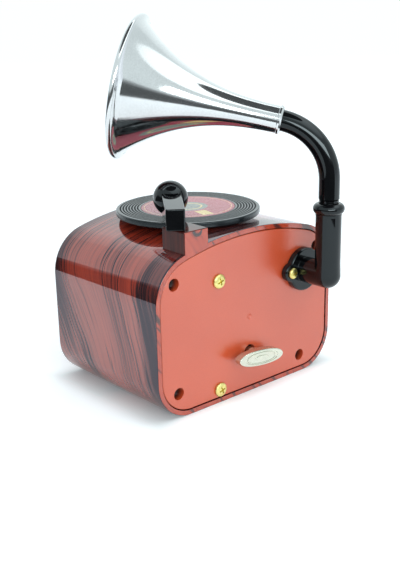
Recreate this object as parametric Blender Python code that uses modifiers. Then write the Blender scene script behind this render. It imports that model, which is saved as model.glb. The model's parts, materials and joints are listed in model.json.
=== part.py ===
"""Gramophone music box: arched case, record on a spindle, tone arm, horn, and a pinned cylinder movement.

Units are metres, Z is up. The case stands on Z = 0, its depth runs along Y, and its cover is at +Y.
"""
import math

import bmesh
import bpy
from mathutils import Matrix, Vector

# Fits between pieces
SEAT_GAP = 0.0003
RUN_GAP = 0.0002
FACE_GAP = 0.0003
WELD = 0.00001

# Case
CASE_WIDTH = 0.1052
CASE_HEIGHT = 0.0758
CASE_DEPTH = 0.0751
CASE_WALL = 0.0022
FRONT_WALL = 0.0024
BOTTOM_RADIUS = 0.0178
SHOULDER_RADIUS = 0.0206
ARCH_RADIUS = 0.1400
FRONT_ROUND = 0.0016
POST_RADIUS = 0.0036
POST_HOLE_RADIUS = 0.0013

# Pedestal of the tone arm, one with the case
PEDESTAL_X = 0.0237
PEDESTAL_WIDTH = 0.0130
PEDESTAL_DEPTH = 0.0145
PEDESTAL_RISE = 0.0046
PEDESTAL_ROOT = 0.0103

# Back cover
COVER_THICKNESS = 0.0025
COVER_RECESS = 0.0003
WELL_RADIUS = 0.00265
WELL_WALL = 0.0011
WELL_DEPTH = 0.0090
WELL_FLOOR = 0.0012
UPPER_WELL_INSET = 0.0100
UPPER_WELL_DROP = 0.0162
RIGHT_WELL_INSET = 0.0111
RIGHT_WELL_Z = 0.0111
LEFT_WELL_GAP = 0.0010
LEFT_WELL_Z = 0.0082
KEY_HOLE_CLEARANCE = 0.0010
DIMPLE_RADIUS = 0.0011
DIMPLE_DEPTH = 0.0005
DIMPLE_Z = 0.0355

# Screws
CASE_SCREW_HEAD_RADIUS = 0.0022
CASE_SCREW_HEAD_HEIGHT = 0.0015
CASE_SCREW_RADIUS = 0.0011
CASE_SCREW_LENGTH = 0.0080
BRASS_HEAD_RADIUS = 0.0032
BRASS_HEAD_HEIGHT = 0.0015
BRASS_SCREW_RADIUS = 0.0014
SMALL_HEAD_RADIUS = 0.0018
SMALL_HEAD_HEIGHT = 0.0010
SMALL_SCREW_RADIUS = 0.0008
SMALL_SCREW_LENGTH = 0.0034
SLOT_WIDTH = 0.0007
SLOT_DEPTH = 0.0006
SLOT_REACH = 0.62
HEAD_TAPER = 0.80
MOVEMENT_SCREW_X = 0.0182
MOVEMENT_SCREW_ZS = (0.0062, 0.0559)

# Record, label and spindle
RECORD_Y = -0.0030
RECORD_RADIUS = 0.0330
RECORD_RISE = 0.0032
RECORD_THICKNESS = 0.0027
RECORD_EDGE = 0.0006
LABEL_RADIUS = 0.0215
LABEL_THICKNESS = 0.00025
SPINDLE_RADIUS = 0.0020
SPINDLE_FLANGE_RADIUS = 0.0055
SPINDLE_FLANGE_HEIGHT = 0.0011
BUSH_RADIUS = 0.0042
BUSH_FLANGE_RADIUS = 0.0062
BUSH_FLANGE_HEIGHT = 0.0012
BUSH_PROUD = 0.0002

# Tone arm
ARM_PIVOT_INSET = 0.0033
ARM_PIVOT_BACK = 0.00995
ARM_ANGLE = 234.0
ARM_REAR = 0.0080
ARM_REACH = 0.0238
ARM_WIDTH = 0.0080
ARM_FLARE = 1.05
ARM_REAR_HEIGHT = 0.0089
ARM_FRONT_HEIGHT = 0.0102
ARM_FRONT_RISE = 0.0036
ARM_ROUND = 0.0012
ARM_BALL_RADIUS = 0.00765
ARM_BALL_RISE = 0.0072
ARM_PIN_RADIUS = 0.0016
ARM_PIN_HEIGHT = 0.0060
ARM_PIN_DEPTH = 0.0050
STYLUS_RADIUS = 0.0009
STYLUS_TIP_RADIUS = 0.00045
STYLUS_LENGTH = 0.0022

# Horn elbow and horn
ELBOW_INSET = 0.0198
ELBOW_Z = 0.0510
ELBOW_REACH = 0.01575
ELBOW_TUBE_RADIUS = 0.0059
ELBOW_CORNER_SWELL = 1.004
SOCKET_RADIUS = 0.0057
SOCKET_TOP = 0.0790
SOCKET_DEPTH = 0.0180
COLLAR_RADIUS = 0.0071
COLLAR_HEIGHT = 0.0050
COLLAR_STEPS = 5
COLLAR_UNDERCUT = 0.0003
FLANGE_RADIUS = 0.01005
FLANGE_THICKNESS = 0.0030
EAR_OFFSET = 0.0090
EAR_RADIUS = 0.0040
ELBOW_SCREW_HEAD_RADIUS = 0.0028
ELBOW_SCREW_LENGTH = 0.0085
NECK_RADIUS = 0.0046
NECK_WALL = 0.0011
NECK_GROOVE_DEPTH = 0.0005
NECK_GROOVE_HEIGHT = 0.0016
NECK_RISE = 0.0150
NECK_BEND_RADIUS = 0.0260
NECK_BEND_STEPS = 8
HORN_HEADING = 38.0
HORN_TILT = 12.0
BELL_LENGTH = 0.0680
BELL_RADIUS = 0.0320
BELL_WALL = 0.0012
BELL_LIP_RADIUS = 0.0013
BELL_LIP_START = -60.0
BELL_LIP_SWEEP = 200.0
BELL_LIP_STEPS = 4
BELL_STEPS = 9
BELL_SLEEVE = 0.0050
FLARE_POWER = 2.6

# Winding key
KEY_Z = 0.0189
KEY_LENGTH = 0.0268
KEY_HEIGHT = 0.0086
KEY_END_HEIGHT = 0.0034
KEY_STAND = 0.0068
KEY_PLATE = 0.0012
KEY_SKIRT = 0.0024
KEY_SKIRT_WALL = 0.0007
KEY_TILT = 4.0
KEY_HUB_RADIUS = 0.0023

# Movement: bedplate and barrel
SPACER_LENGTH = 0.0040
SPACER_RADIUS = 0.0030
BEDPLATE_THICKNESS = 0.0020
BEDPLATE_LEFT = 0.0280
BEDPLATE_RIGHT = 0.0235
BEDPLATE_BOTTOM = 0.0032
BEDPLATE_DROP = 0.0068
BEDPLATE_CORNER = 0.0025
ARBOR_RADIUS = 0.0014
RATCHET_TEETH = 14
RATCHET_RADIUS = 0.0040
RATCHET_TOOTH = 0.0008
RATCHET_RAKE = 3.5
RATCHET_WIDTH = 0.0012
CLICK_THICKNESS = 0.0004
CLICK_LENGTH = 0.0105
CLICK_TIP = 0.0010
CLICK_FOOT_WIDTH = 0.0042
CLICK_FOOT_DROP = 0.0018
CLICK_FOOT_HEIGHT = 0.0040
BARREL_RADIUS = 0.0126
BARREL_DEPTH = 0.0095
BARREL_WALL = 0.0009
BARREL_LID = 0.0009
CROWN_TEETH = 30
CROWN_FACE = 0.0024
CROWN_HEIGHT = 0.0015
CROWN_WEB = 0.0010
CROWN_EDGE = 0.00012
CROWN_MESH_GAP = 0.0002
SPRING_TURNS = 4
SPRING_STEPS = 12
SPRING_BAND = 0.00035
BRIDGE_THICKNESS = 0.0014
BRIDGE_WIDTH = 0.0060
BRIDGE_POST_X = 0.0152
BRIDGE_POST_RADIUS = 0.0022

# Movement: cylinder train
CYLINDER_PINION_TEETH = 12
CYLINDER_RADIUS = 0.0065
CYLINDER_BOTTOM = 0.0360
CYLINDER_ARBOR_RADIUS = 0.0012
PIN_HEIGHT = 0.0009
PIN_INSET = 0.00048
COMB_TEETH = 18
PINS_PER_TURN = 20
PIN_PLACE_STEP = 5
PIN_TRACK_STEP = 7
PIN_SLOTS = (0, 9)
PINION_WIDTH = 0.0030
GREAT_TEETH = 40
GREAT_WIDTH = 0.0012
GREAT_MODULE = 0.0005
TRANSFER_TEETH = 22
SPINDLE_TEETH = 22
TRANSFER_WIDTH = 0.0020
TRANSFER_DROP = 0.0114
BEARING_THICKNESS = 0.0014
BEARING_WIDTH = 0.0080
BEARING_FOOT = 0.0075

# Movement: comb
COMB_THICKNESS = 0.0009
COMB_CLEARANCE = 0.0003
COMB_TOOTH_LENGTH = 0.0125
COMB_TOOTH_SHORTER = 0.0040
COMB_GAP = 0.00035
COMB_BASE = 0.0075
COMB_RISER_WIDTH = 0.0068
COMB_RISER_MARGIN = 0.0010
COMB_SCREW_INSET = 0.0048

# Movement: governor
GOVERNOR_PINION_TEETH = 10
GOVERNOR_PINION_OVERHANG = 0.00012
WORM_WHEEL_TEETH = 14
WORM_MODULE = 0.0006
WORM_WHEEL_WIDTH = 0.0008
WORM_WHEEL_GAP = 0.0006
WORM_RADIUS = 0.0018
WORM_SHAFT_RADIUS = 0.0007
WORM_TURNS = 3
WORM_CORE_MARGIN = 0.00075
THREAD_SINK = 0.0003
GOVERNOR_ARBOR_RADIUS = 0.0008
GOVERNOR_PLATE = 0.0012
GOVERNOR_REACH = 0.0102
GOVERNOR_SIDE = 0.0035
GOVERNOR_CLEARANCE = 0.0006
FAN_RADIUS = 0.0042
FAN_WIDTH = 0.0036
FAN_BLADE = 0.0005
FAN_HUB_RADIUS = 0.0013
FAN_MARGIN = 0.0002

# Gear teeth
TOOTH_ADDENDUM = 0.80
TOOTH_DEDENDUM = 1.05
TOOTH_FILL = 0.40
TOOTH_SLOPE = math.tan(math.radians(20.0))

# Places worked out from the sizes above
HALF_WIDTH = CASE_WIDTH / 2
BACK_Y = CASE_DEPTH / 2
FRONT_Y = -CASE_DEPTH / 2
PEDESTAL_TOP = CASE_HEIGHT + PEDESTAL_RISE
UPPER_WELL_X = HALF_WIDTH - UPPER_WELL_INSET
UPPER_WELL_Z = CASE_HEIGHT - UPPER_WELL_DROP
WELLS = (
    (UPPER_WELL_X, UPPER_WELL_Z),
    (-UPPER_WELL_X, UPPER_WELL_Z),
    (HALF_WIDTH - RIGHT_WELL_INSET, RIGHT_WELL_Z),
    (-BEDPLATE_LEFT - LEFT_WELL_GAP - POST_RADIUS, LEFT_WELL_Z),
)
KEY_HOLE_RADIUS = KEY_HUB_RADIUS + KEY_HOLE_CLEARANCE
RECORD_TOP = CASE_HEIGHT + RECORD_RISE
ARM_PIVOT = (PEDESTAL_X + PEDESTAL_WIDTH - ARM_PIVOT_INSET, BACK_Y - ARM_PIVOT_BACK)
ARM_BALL_Z = PEDESTAL_TOP + ARM_BALL_RISE
COVER_OUTER_Y = BACK_Y - COVER_RECESS
COVER_INNER_Y = COVER_OUTER_Y - COVER_THICKNESS
BEDPLATE_BACK_Y = COVER_INNER_Y - SPACER_LENGTH - 2 * FACE_GAP
BEDPLATE_FRONT_Y = BEDPLATE_BACK_Y - BEDPLATE_THICKNESS
BARREL_BACK_Y = BEDPLATE_FRONT_Y - 2 * FACE_GAP
BARREL_FRONT_Y = BARREL_BACK_Y - BARREL_DEPTH
CROWN_TIP_Y = BARREL_FRONT_Y - CROWN_HEIGHT
CROWN_MEAN_RADIUS = BARREL_RADIUS - CROWN_FACE / 2
CROWN_MODULE = 2 * CROWN_MEAN_RADIUS / CROWN_TEETH
CYLINDER_PINION_RADIUS = CROWN_MODULE * CYLINDER_PINION_TEETH / 2
CYLINDER_Y = CROWN_TIP_Y + CROWN_MODULE * TOOTH_ADDENDUM - CROWN_MESH_GAP - CYLINDER_PINION_RADIUS
PINION_Z = KEY_Z + CROWN_MEAN_RADIUS
BEDPLATE_TOP = CASE_HEIGHT - BEDPLATE_DROP
TRANSFER_Z = CASE_HEIGHT - TRANSFER_DROP
UPPER_BEARING_Z = TRANSFER_Z - 2 * FACE_GAP - BEARING_THICKNESS
GREAT_Z = UPPER_BEARING_Z - 2 * FACE_GAP - GREAT_WIDTH
CYLINDER_TOP = GREAT_Z - 2 * FACE_GAP
CYLINDER_LENGTH = CYLINDER_TOP - CYLINDER_BOTTOM
LOWER_BEARING_Z = CYLINDER_BOTTOM - FACE_GAP - BEARING_THICKNESS
ARBOR_TOP = TRANSFER_Z + TRANSFER_WIDTH + FACE_GAP
TRANSFER_MODULE = 2 * (CYLINDER_Y - RECORD_Y) / (TRANSFER_TEETH + SPINDLE_TEETH)
GOVERNOR_X = GREAT_MODULE * (GREAT_TEETH + GOVERNOR_PINION_TEETH) / 2
WORM_WHEEL_RADIUS = WORM_MODULE * WORM_WHEEL_TEETH / 2
WORM_X = GOVERNOR_X + WORM_WHEEL_RADIUS + WORM_RADIUS
WORM_WHEEL_Z = GREAT_Z + GREAT_WIDTH + WORM_WHEEL_GAP
GOVERNOR_FRONT_Y = CYLINDER_Y - GOVERNOR_REACH
WORM_Z = WORM_WHEEL_Z + WORM_WHEEL_WIDTH / 2
GOVERNOR_LOW_Z = WORM_Z - FAN_RADIUS - GOVERNOR_CLEARANCE - GOVERNOR_PLATE
GOVERNOR_HIGH_Z = WORM_Z + FAN_RADIUS + GOVERNOR_CLEARANCE
BRIDGE_BACK_Y = CROWN_TIP_Y - FACE_GAP
COMB_Y = CYLINDER_Y
COMB_TIP_X = -(CYLINDER_RADIUS + PIN_HEIGHT + COMB_CLEARANCE)
COMB_ROOT_X = COMB_TIP_X - COMB_TOOTH_LENGTH
COMB_END_X = COMB_ROOT_X - COMB_BASE
COMB_SCREW_X = COMB_END_X + COMB_RISER_WIDTH / 2
COMB_SCREW_ZS = (CYLINDER_BOTTOM + COMB_SCREW_INSET, CYLINDER_TOP - COMB_SCREW_INSET)
ELBOW_X = ELBOW_INSET - HALF_WIDTH
ELBOW_Y = BACK_Y + ELBOW_REACH
NECK_BOTTOM = SOCKET_TOP - SOCKET_DEPTH + SEAT_GAP
NECK_BEND_Z = SOCKET_TOP + NECK_RISE
NECK_BORE_RADIUS = NECK_RADIUS - NECK_GROOVE_DEPTH - NECK_WALL
RECORD_BOTTOM = RECORD_TOP - RECORD_THICKNESS
ARM_BOTTOM = PEDESTAL_TOP + SEAT_GAP
ARCH_CENTRE_Z = CASE_HEIGHT - ARCH_RADIUS

parts = None
cutters = None


def clear_scene():
    for item in list(bpy.data.objects):
        bpy.data.objects.remove(item, do_unlink=True)


def make_collections():
    global parts, cutters
    parts = bpy.data.collections.new("gramophone_music_box")
    cutters = bpy.data.collections.new("cutters")
    bpy.context.scene.collection.children.link(parts)
    bpy.context.scene.collection.children.link(cutters)


def material(name, colour, roughness, metallic=0.0):
    found = bpy.data.materials.get(name)
    if found:
        return found
    made = bpy.data.materials.new(name)
    made.use_nodes = True
    shader = made.node_tree.nodes["Principled BSDF"]
    shader.inputs["Base Color"].default_value = (*colour, 1.0)
    shader.inputs["Roughness"].default_value = roughness
    shader.inputs["Metallic"].default_value = metallic
    return made


def wood():
    return material("glossy_wood", (0.30, 0.055, 0.03), 0.12)


def terracotta():
    return material("terracotta_paint", (0.56, 0.17, 0.09), 0.38)


def black():
    return material("gloss_black", (0.008, 0.008, 0.009), 0.15)


def brass():
    return material("brass", (0.78, 0.60, 0.20), 0.28, 1.0)


def steel():
    return material("steel", (0.60, 0.60, 0.61), 0.32, 1.0)


def dark_steel():
    return material("spring_steel", (0.22, 0.24, 0.27), 0.35, 1.0)


def nickel():
    return material("nickel", (0.72, 0.71, 0.66), 0.25, 1.0)


def silver():
    return material("silver_plate", (0.66, 0.67, 0.68), 0.15, 1.0)


def zinc():
    return material("cast_zinc", (0.50, 0.50, 0.50), 0.45, 1.0)


def nylon():
    return material("white_nylon", (0.80, 0.79, 0.75), 0.40)


def label_paper():
    return material("label_paper", (0.62, 0.16, 0.20), 0.35)


def add_object(name, bm, look, smooth=30.0, cutter=False):
    bmesh.ops.recalc_face_normals(bm, faces=bm.faces)
    mesh = bpy.data.meshes.new(name)
    bm.to_mesh(mesh)
    bm.free()
    made = bpy.data.objects.new(name, mesh)
    if cutter:
        cutters.objects.link(made)
        made.hide_render = True
        made.display_type = "WIRE"
        return made
    parts.objects.link(made)
    mesh.materials.append(look)
    mesh.shade_smooth()
    mesh.set_sharp_from_angle(angle=math.radians(smooth))
    return made


def boolean(target, tool, operation):
    step = target.modifiers.new(operation.lower() + "_" + tool.name, "BOOLEAN")
    step.operation = operation
    step.object = tool
    step.solver = "EXACT"


def cut(target, tool):
    boolean(target, tool, "DIFFERENCE")


def join(target, tool):
    boolean(target, tool, "UNION")


def add_box(bm, low, high):
    size = [high[i] - low[i] for i in range(3)]
    middle = [(high[i] + low[i]) / 2 for i in range(3)]
    place = Matrix.Translation(middle) @ Matrix.Diagonal((*size, 1.0))
    return bmesh.ops.create_cube(bm, size=1.0, matrix=place)["verts"]


def along(axis, start, length):
    """Matrix that lays a Z cylinder from start along an axis name."""
    turn = {"X": Matrix.Rotation(math.pi / 2, 4, "Y"), "Y": Matrix.Rotation(-math.pi / 2, 4, "X")}
    turned = turn.get(axis, Matrix.Identity(4))
    return Matrix.Translation(start) @ turned @ Matrix.Translation((0, 0, length / 2))


def add_cylinder(bm, axis, start, radius, length, sides=24, top=None):
    last = radius if top is None else top
    bmesh.ops.create_cone(
        bm, cap_ends=True, segments=sides, radius1=radius, radius2=last, depth=length,
        matrix=along(axis, start, length),
    )


def box_cutter(name, low, high):
    bm = bmesh.new()
    add_box(bm, low, high)
    return add_object(name, bm, None, cutter=True)


def cylinder_cutter(name, axis, start, radius, length, sides=24):
    bm = bmesh.new()
    add_cylinder(bm, axis, start, radius, length, sides)
    return add_object(name, bm, None, cutter=True)


def cylinders_cutter(name, axis, starts, radius, length, sides=20):
    bm = bmesh.new()
    for start in starts:
        add_cylinder(bm, axis, start, radius, length, sides)
    return add_object(name, bm, None, cutter=True)


def add_prism(bm, outline, place, depth):
    """Extrude a flat outline of (u, v) points along the Z axis of a matrix."""
    lower = [bm.verts.new(place @ Vector((u, v, 0.0))) for u, v in outline]
    face = bm.faces.new(lower)
    raised = bmesh.ops.extrude_face_region(bm, geom=[face])["geom"]
    moved = [item for item in raised if isinstance(item, bmesh.types.BMVert)]
    shift = place.to_3x3() @ Vector((0, 0, depth))
    bmesh.ops.translate(bm, verts=moved, vec=shift)


def facing(y):
    """Frame with u along +X and v along +Z, extruding towards -Y."""
    return Matrix.Translation((0, y, 0)) @ Matrix.Rotation(math.pi / 2, 4, "X")


def arc(centre, radius, start, end, steps):
    angles = [math.radians(start + (end - start) * i / steps) for i in range(steps + 1)]
    return [(centre[0] + radius * math.cos(a), centre[1] + radius * math.sin(a)) for a in angles]


def case_outline(inset):
    """Front view of the case, drawn in by an inset: flat foot, upright sides, round shoulders, arched top."""
    half = HALF_WIDTH - inset
    foot = BOTTOM_RADIUS - inset
    shoulder = SHOULDER_RADIUS - inset
    arch = ARCH_RADIUS - inset
    side = half - shoulder
    shoulder_z = ARCH_CENTRE_Z + math.sqrt((arch - shoulder) ** 2 - side ** 2)
    meet = math.degrees(math.acos(side / (arch - shoulder)))
    right = arc((half - foot, foot + inset), foot, -90, 0, 6)
    right += arc((side, shoulder_z), shoulder, 0, meet, 6)
    right += arc((0, ARCH_CENTRE_Z), arch, meet, 90, 6)[1:-1]
    left = [(-x, z) for x, z in reversed(right)]
    return right + [(0, ARCH_CENTRE_Z + arch)] + left


def gear_outline(teeth, module, phase, fill=TOOTH_FILL):
    """Trapezoid teeth, the first centred on the phase angle in degrees."""
    pitch = teeth * module / 2
    tip = pitch + TOOTH_ADDENDUM * module
    root = pitch - TOOTH_DEDENDUM * module
    half = fill * math.pi * module / 2
    half_tip = (half - TOOTH_ADDENDUM * module * TOOTH_SLOPE) / tip
    half_root = (half + TOOTH_DEDENDUM * module * TOOTH_SLOPE) / root
    points = []
    for i in range(teeth):
        middle = math.radians(phase) + 2 * math.pi * i / teeth
        corners = ((root, -half_root), (tip, -half_tip), (tip, half_tip), (root, half_root))
        points += [(r * math.cos(middle + a), r * math.sin(middle + a)) for r, a in corners]
    return points


def spur_gear(name, look, teeth, module, phase, centre, z, width, bore):
    bm = bmesh.new()
    place = Matrix.Translation((centre[0], centre[1], z))
    add_prism(bm, gear_outline(teeth, module, phase), place, width)
    gear = add_object(name, bm, look)
    start = (centre[0], centre[1], z - width)
    cut(gear, cylinder_cutter(name + "_bore", "Z", start, bore, 3 * width, 16))
    return gear


def turned(name, profile, look, steps=32, cutter=False):
    """Turn a profile of (radius, height) points about Z with a Screw modifier."""
    bm = bmesh.new()
    verts = [bm.verts.new((r, 0, z)) for r, z in profile]
    for first, second in zip(verts, verts[1:]):
        bm.edges.new((first, second))
    if profile[0][0] > 0 and profile[0] != profile[-1]:
        bm.edges.new((verts[-1], verts[0]))
    mesh = bpy.data.meshes.new(name)
    bm.to_mesh(mesh)
    bm.free()
    made = bpy.data.objects.new(name, mesh)
    if cutter:
        cutters.objects.link(made)
        made.hide_render = True
        made.display_type = "WIRE"
    else:
        parts.objects.link(made)
        mesh.materials.append(look)
    screw = made.modifiers.new("turn", "SCREW")
    screw.steps = steps
    screw.render_steps = steps
    screw.use_merge_vertices = True
    screw.merge_threshold = 0.00001
    screw.use_smooth_shade = not cutter
    return made


def screw_mesh(name, look, head_radius, head_height, radius, length, cross=True):
    """Screw with its seat at the origin, its head towards +Y and its shank towards -Y."""
    bm = bmesh.new()
    add_cylinder(bm, "Y", (0, 0, 0), head_radius, head_height, 14, head_radius * HEAD_TAPER)
    model = add_object(name, bm, look)
    tools = []
    shank = bmesh.new()
    add_cylinder(shank, "Y", (0, -length, 0), radius, length + head_height / 2, 8)
    tools.append(add_object(name + "_shank", shank, None, cutter=True))
    join(model, tools[0])
    reach = head_radius * SLOT_REACH
    half = SLOT_WIDTH / 2
    low = head_height - SLOT_DEPTH
    high = head_height + SLOT_DEPTH
    tools.append(box_cutter(name + "_slot", (-reach, low, -half), (reach, high, half)))
    cut(model, tools[1])
    if cross:
        tools.append(box_cutter(name + "_cross", (-half, low, -reach), (half, high, reach)))
        cut(model, tools[2])
    graph = bpy.context.evaluated_depsgraph_get()
    mesh = bpy.data.meshes.new_from_object(model.evaluated_get(graph))
    mesh.name = name
    for item in [model] + tools:
        bpy.data.objects.remove(item, do_unlink=True)
    return mesh


def place_copies(name, mesh, places, facing_front=False):
    """Numbered objects that share one mesh."""
    for number, place in enumerate(places, start=1):
        copy = bpy.data.objects.new(f"{name}_{number}", mesh)
        parts.objects.link(copy)
        copy.location = place
        copy.rotation_euler = (0, 0, math.pi if facing_front else 0)


# Case group

def case_shell():
    bm = bmesh.new()
    add_prism(bm, case_outline(0.0), facing(BACK_Y), CASE_DEPTH)
    front = [e for e in bm.edges if all(v.co.y < FRONT_Y + 1e-6 for v in e.verts)]
    bmesh.ops.bevel(bm, geom=front, offset=FRONT_ROUND, segments=2, affect="EDGES", profile=0.5)
    shell = add_object("case_shell", bm, wood())

    pedestal = box_cutter(
        "pedestal_block",
        (PEDESTAL_X, BACK_Y - PEDESTAL_DEPTH, CASE_HEIGHT - PEDESTAL_ROOT),
        (PEDESTAL_X + PEDESTAL_WIDTH, BACK_Y, PEDESTAL_TOP),
    )
    join(shell, pedestal)

    hollow = bmesh.new()
    depth = CASE_DEPTH - FRONT_WALL
    add_prism(hollow, case_outline(CASE_WALL), facing(BACK_Y + CASE_WALL), depth + CASE_WALL)
    cut(shell, add_object("case_hollow", hollow, None, cutter=True))

    post_top = COVER_OUTER_Y - WELL_DEPTH - SEAT_GAP
    post_length = post_top - FRONT_Y - FRONT_WALL / 2
    posts = bmesh.new()
    for x, z in WELLS:
        add_cylinder(posts, "Y", (x, post_top - post_length, z), POST_RADIUS, post_length, 12)
    join(shell, add_object("case_posts", posts, None, cutter=True))

    hole_depth = CASE_SCREW_LENGTH
    holes = [(x, post_top - hole_depth, z) for x, z in WELLS]
    cut(shell, cylinders_cutter("post_holes", "Y", holes, POST_HOLE_RADIUS, 2 * hole_depth, 8))
    cut(shell, cylinder_cutter(
        "bush_hole", "Z", (0, RECORD_Y, CASE_HEIGHT - 4 * CASE_WALL), BUSH_RADIUS + RUN_GAP, 8 * CASE_WALL,
    ))
    cut(shell, cylinder_cutter(
        "arm_pin_hole", "Z", (*ARM_PIVOT, PEDESTAL_TOP - ARM_PIN_DEPTH), ARM_PIN_RADIUS + RUN_GAP,
        2 * ARM_PIN_DEPTH, 16,
    ))
    return shell


def back_cover():
    bm = bmesh.new()
    inset = CASE_WALL + SEAT_GAP
    add_prism(bm, case_outline(inset), facing(COVER_OUTER_Y), COVER_THICKNESS)
    cover = add_object("back_cover", bm, terracotta())

    cups = bmesh.new()
    for x, z in WELLS:
        start = (x, COVER_OUTER_Y - WELL_DEPTH, z)
        add_cylinder(cups, "Y", start, WELL_RADIUS + WELL_WALL, WELL_DEPTH - COVER_THICKNESS / 2, 12)
    join(cover, add_object("well_cups", cups, None, cutter=True))

    floor_y = COVER_OUTER_Y - WELL_DEPTH + WELL_FLOOR
    wells = [(x, floor_y, z) for x, z in WELLS]
    cut(cover, cylinders_cutter("well_bores", "Y", wells, WELL_RADIUS, 2 * WELL_DEPTH, 14))
    holes = [(x, floor_y - 2 * WELL_FLOOR, z) for x, z in WELLS]
    cut(cover, cylinders_cutter(
        "well_holes", "Y", holes, CASE_SCREW_RADIUS + RUN_GAP, 3 * WELL_FLOOR, 8,
    ))
    through = 3 * COVER_THICKNESS
    start_y = COVER_INNER_Y - COVER_THICKNESS
    cut(cover, cylinder_cutter("key_hole", "Y", (0, start_y, KEY_Z), KEY_HOLE_RADIUS, through, 20))
    screws = [(MOVEMENT_SCREW_X, start_y, z) for z in MOVEMENT_SCREW_ZS]
    screws += [(ELBOW_X + side * EAR_OFFSET, start_y, ELBOW_Z) for side in (-1, 1)]
    cut(cover, cylinders_cutter("cover_screw_holes", "Y", screws, BRASS_SCREW_RADIUS + RUN_GAP, through, 8))
    cut(cover, cylinder_cutter(
        "cover_dimple", "Y", (0, COVER_OUTER_Y - DIMPLE_DEPTH, DIMPLE_Z), DIMPLE_RADIUS, 2 * DIMPLE_DEPTH, 10,
    ))
    return cover


def case_screws():
    seat = COVER_OUTER_Y - WELL_DEPTH + WELL_FLOOR + SEAT_GAP / 2
    seats = [(x, seat, z) for x, z in WELLS]
    mesh = screw_mesh(
        "case_screw", steel(), CASE_SCREW_HEAD_RADIUS, CASE_SCREW_HEAD_HEIGHT, CASE_SCREW_RADIUS,
        CASE_SCREW_LENGTH - SEAT_GAP,
    )
    place_copies("case_screw", mesh, seats)


def movement_mounting():
    seats = [(MOVEMENT_SCREW_X, COVER_OUTER_Y + SEAT_GAP / 2, z) for z in MOVEMENT_SCREW_ZS]
    mesh = screw_mesh(
        "movement_screw", brass(), BRASS_HEAD_RADIUS, BRASS_HEAD_HEIGHT, BRASS_SCREW_RADIUS,
        seats[0][1] - BEDPLATE_FRONT_Y,
    )
    place_copies("movement_screw", mesh, seats)
    for number, z in enumerate(MOVEMENT_SCREW_ZS, start=1):
        bm = bmesh.new()
        start = (MOVEMENT_SCREW_X, BEDPLATE_BACK_Y + FACE_GAP, z)
        add_cylinder(bm, "Y", start, SPACER_RADIUS, SPACER_LENGTH, 16)
        spacer = add_object(f"movement_spacer_{number}", bm, nylon())
        start = (MOVEMENT_SCREW_X, BEDPLATE_BACK_Y - SPACER_LENGTH, z)
        cut(spacer, cylinder_cutter(
            f"spacer_bore_{number}", "Y", start, BRASS_SCREW_RADIUS + RUN_GAP, 3 * SPACER_LENGTH, 12,
        ))


def horn_elbow():
    flange_back = COVER_OUTER_Y + SEAT_GAP
    bm = bmesh.new()
    add_cylinder(bm, "Y", (ELBOW_X, flange_back, ELBOW_Z), FLANGE_RADIUS, FLANGE_THICKNESS, 28)
    elbow = add_object("horn_elbow", bm, black())

    ears = bmesh.new()
    for side in (-1, 1):
        start = (ELBOW_X + side * EAR_OFFSET, flange_back, ELBOW_Z)
        add_cylinder(ears, "Y", start, EAR_RADIUS, FLANGE_THICKNESS, 16)
    join(elbow, add_object("elbow_ears", ears, None, cutter=True))

    tube = bmesh.new()
    start_y = flange_back + FLANGE_THICKNESS / 2
    add_cylinder(tube, "Y", (ELBOW_X, start_y, ELBOW_Z), ELBOW_TUBE_RADIUS, ELBOW_Y - start_y, 20)
    join(elbow, add_object("elbow_tube", tube, None, cutter=True))

    corner = bmesh.new()
    bmesh.ops.create_uvsphere(
        corner, u_segments=20, v_segments=10, radius=ELBOW_TUBE_RADIUS * ELBOW_CORNER_SWELL,
        matrix=Matrix.Translation((ELBOW_X, ELBOW_Y, ELBOW_Z)),
    )
    join(elbow, add_object("elbow_corner", corner, None, cutter=True))

    bead = COLLAR_HEIGHT / 2
    wall_top = SOCKET_TOP + COLLAR_HEIGHT
    collar = arc((COLLAR_RADIUS - bead, SOCKET_TOP + bead), bead, 90, -90, COLLAR_STEPS)
    profile = [(0.0, wall_top)] + collar
    profile += [(SOCKET_RADIUS, SOCKET_TOP - COLLAR_UNDERCUT), (SOCKET_RADIUS, ELBOW_Z), (0.0, ELBOW_Z)]
    socket = turned("elbow_socket", profile, None, 20, cutter=True)
    socket.location = (ELBOW_X, ELBOW_Y, 0)
    join(elbow, socket)

    bore_start = (ELBOW_X, ELBOW_Y, SOCKET_TOP - SOCKET_DEPTH)
    cut(elbow, cylinder_cutter(
        "socket_bore", "Z", bore_start, NECK_RADIUS - NECK_GROOVE_DEPTH + RUN_GAP, 2 * SOCKET_DEPTH, 20,
    ))
    screws = [(ELBOW_X + side * EAR_OFFSET, flange_back - FLANGE_THICKNESS, ELBOW_Z) for side in (-1, 1)]
    cut(elbow, cylinders_cutter(
        "ear_holes", "Y", screws, BRASS_SCREW_RADIUS + RUN_GAP, 3 * FLANGE_THICKNESS, 12,
    ))
    seats = [(ELBOW_X + side * EAR_OFFSET, flange_back + FLANGE_THICKNESS + SEAT_GAP / 2, ELBOW_Z)
             for side in (-1, 1)]
    mesh = screw_mesh(
        "elbow_screw", brass(), ELBOW_SCREW_HEAD_RADIUS, BRASS_HEAD_HEIGHT, BRASS_SCREW_RADIUS,
        ELBOW_SCREW_LENGTH,
    )
    place_copies("elbow_screw", mesh, seats)


# Record group

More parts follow.
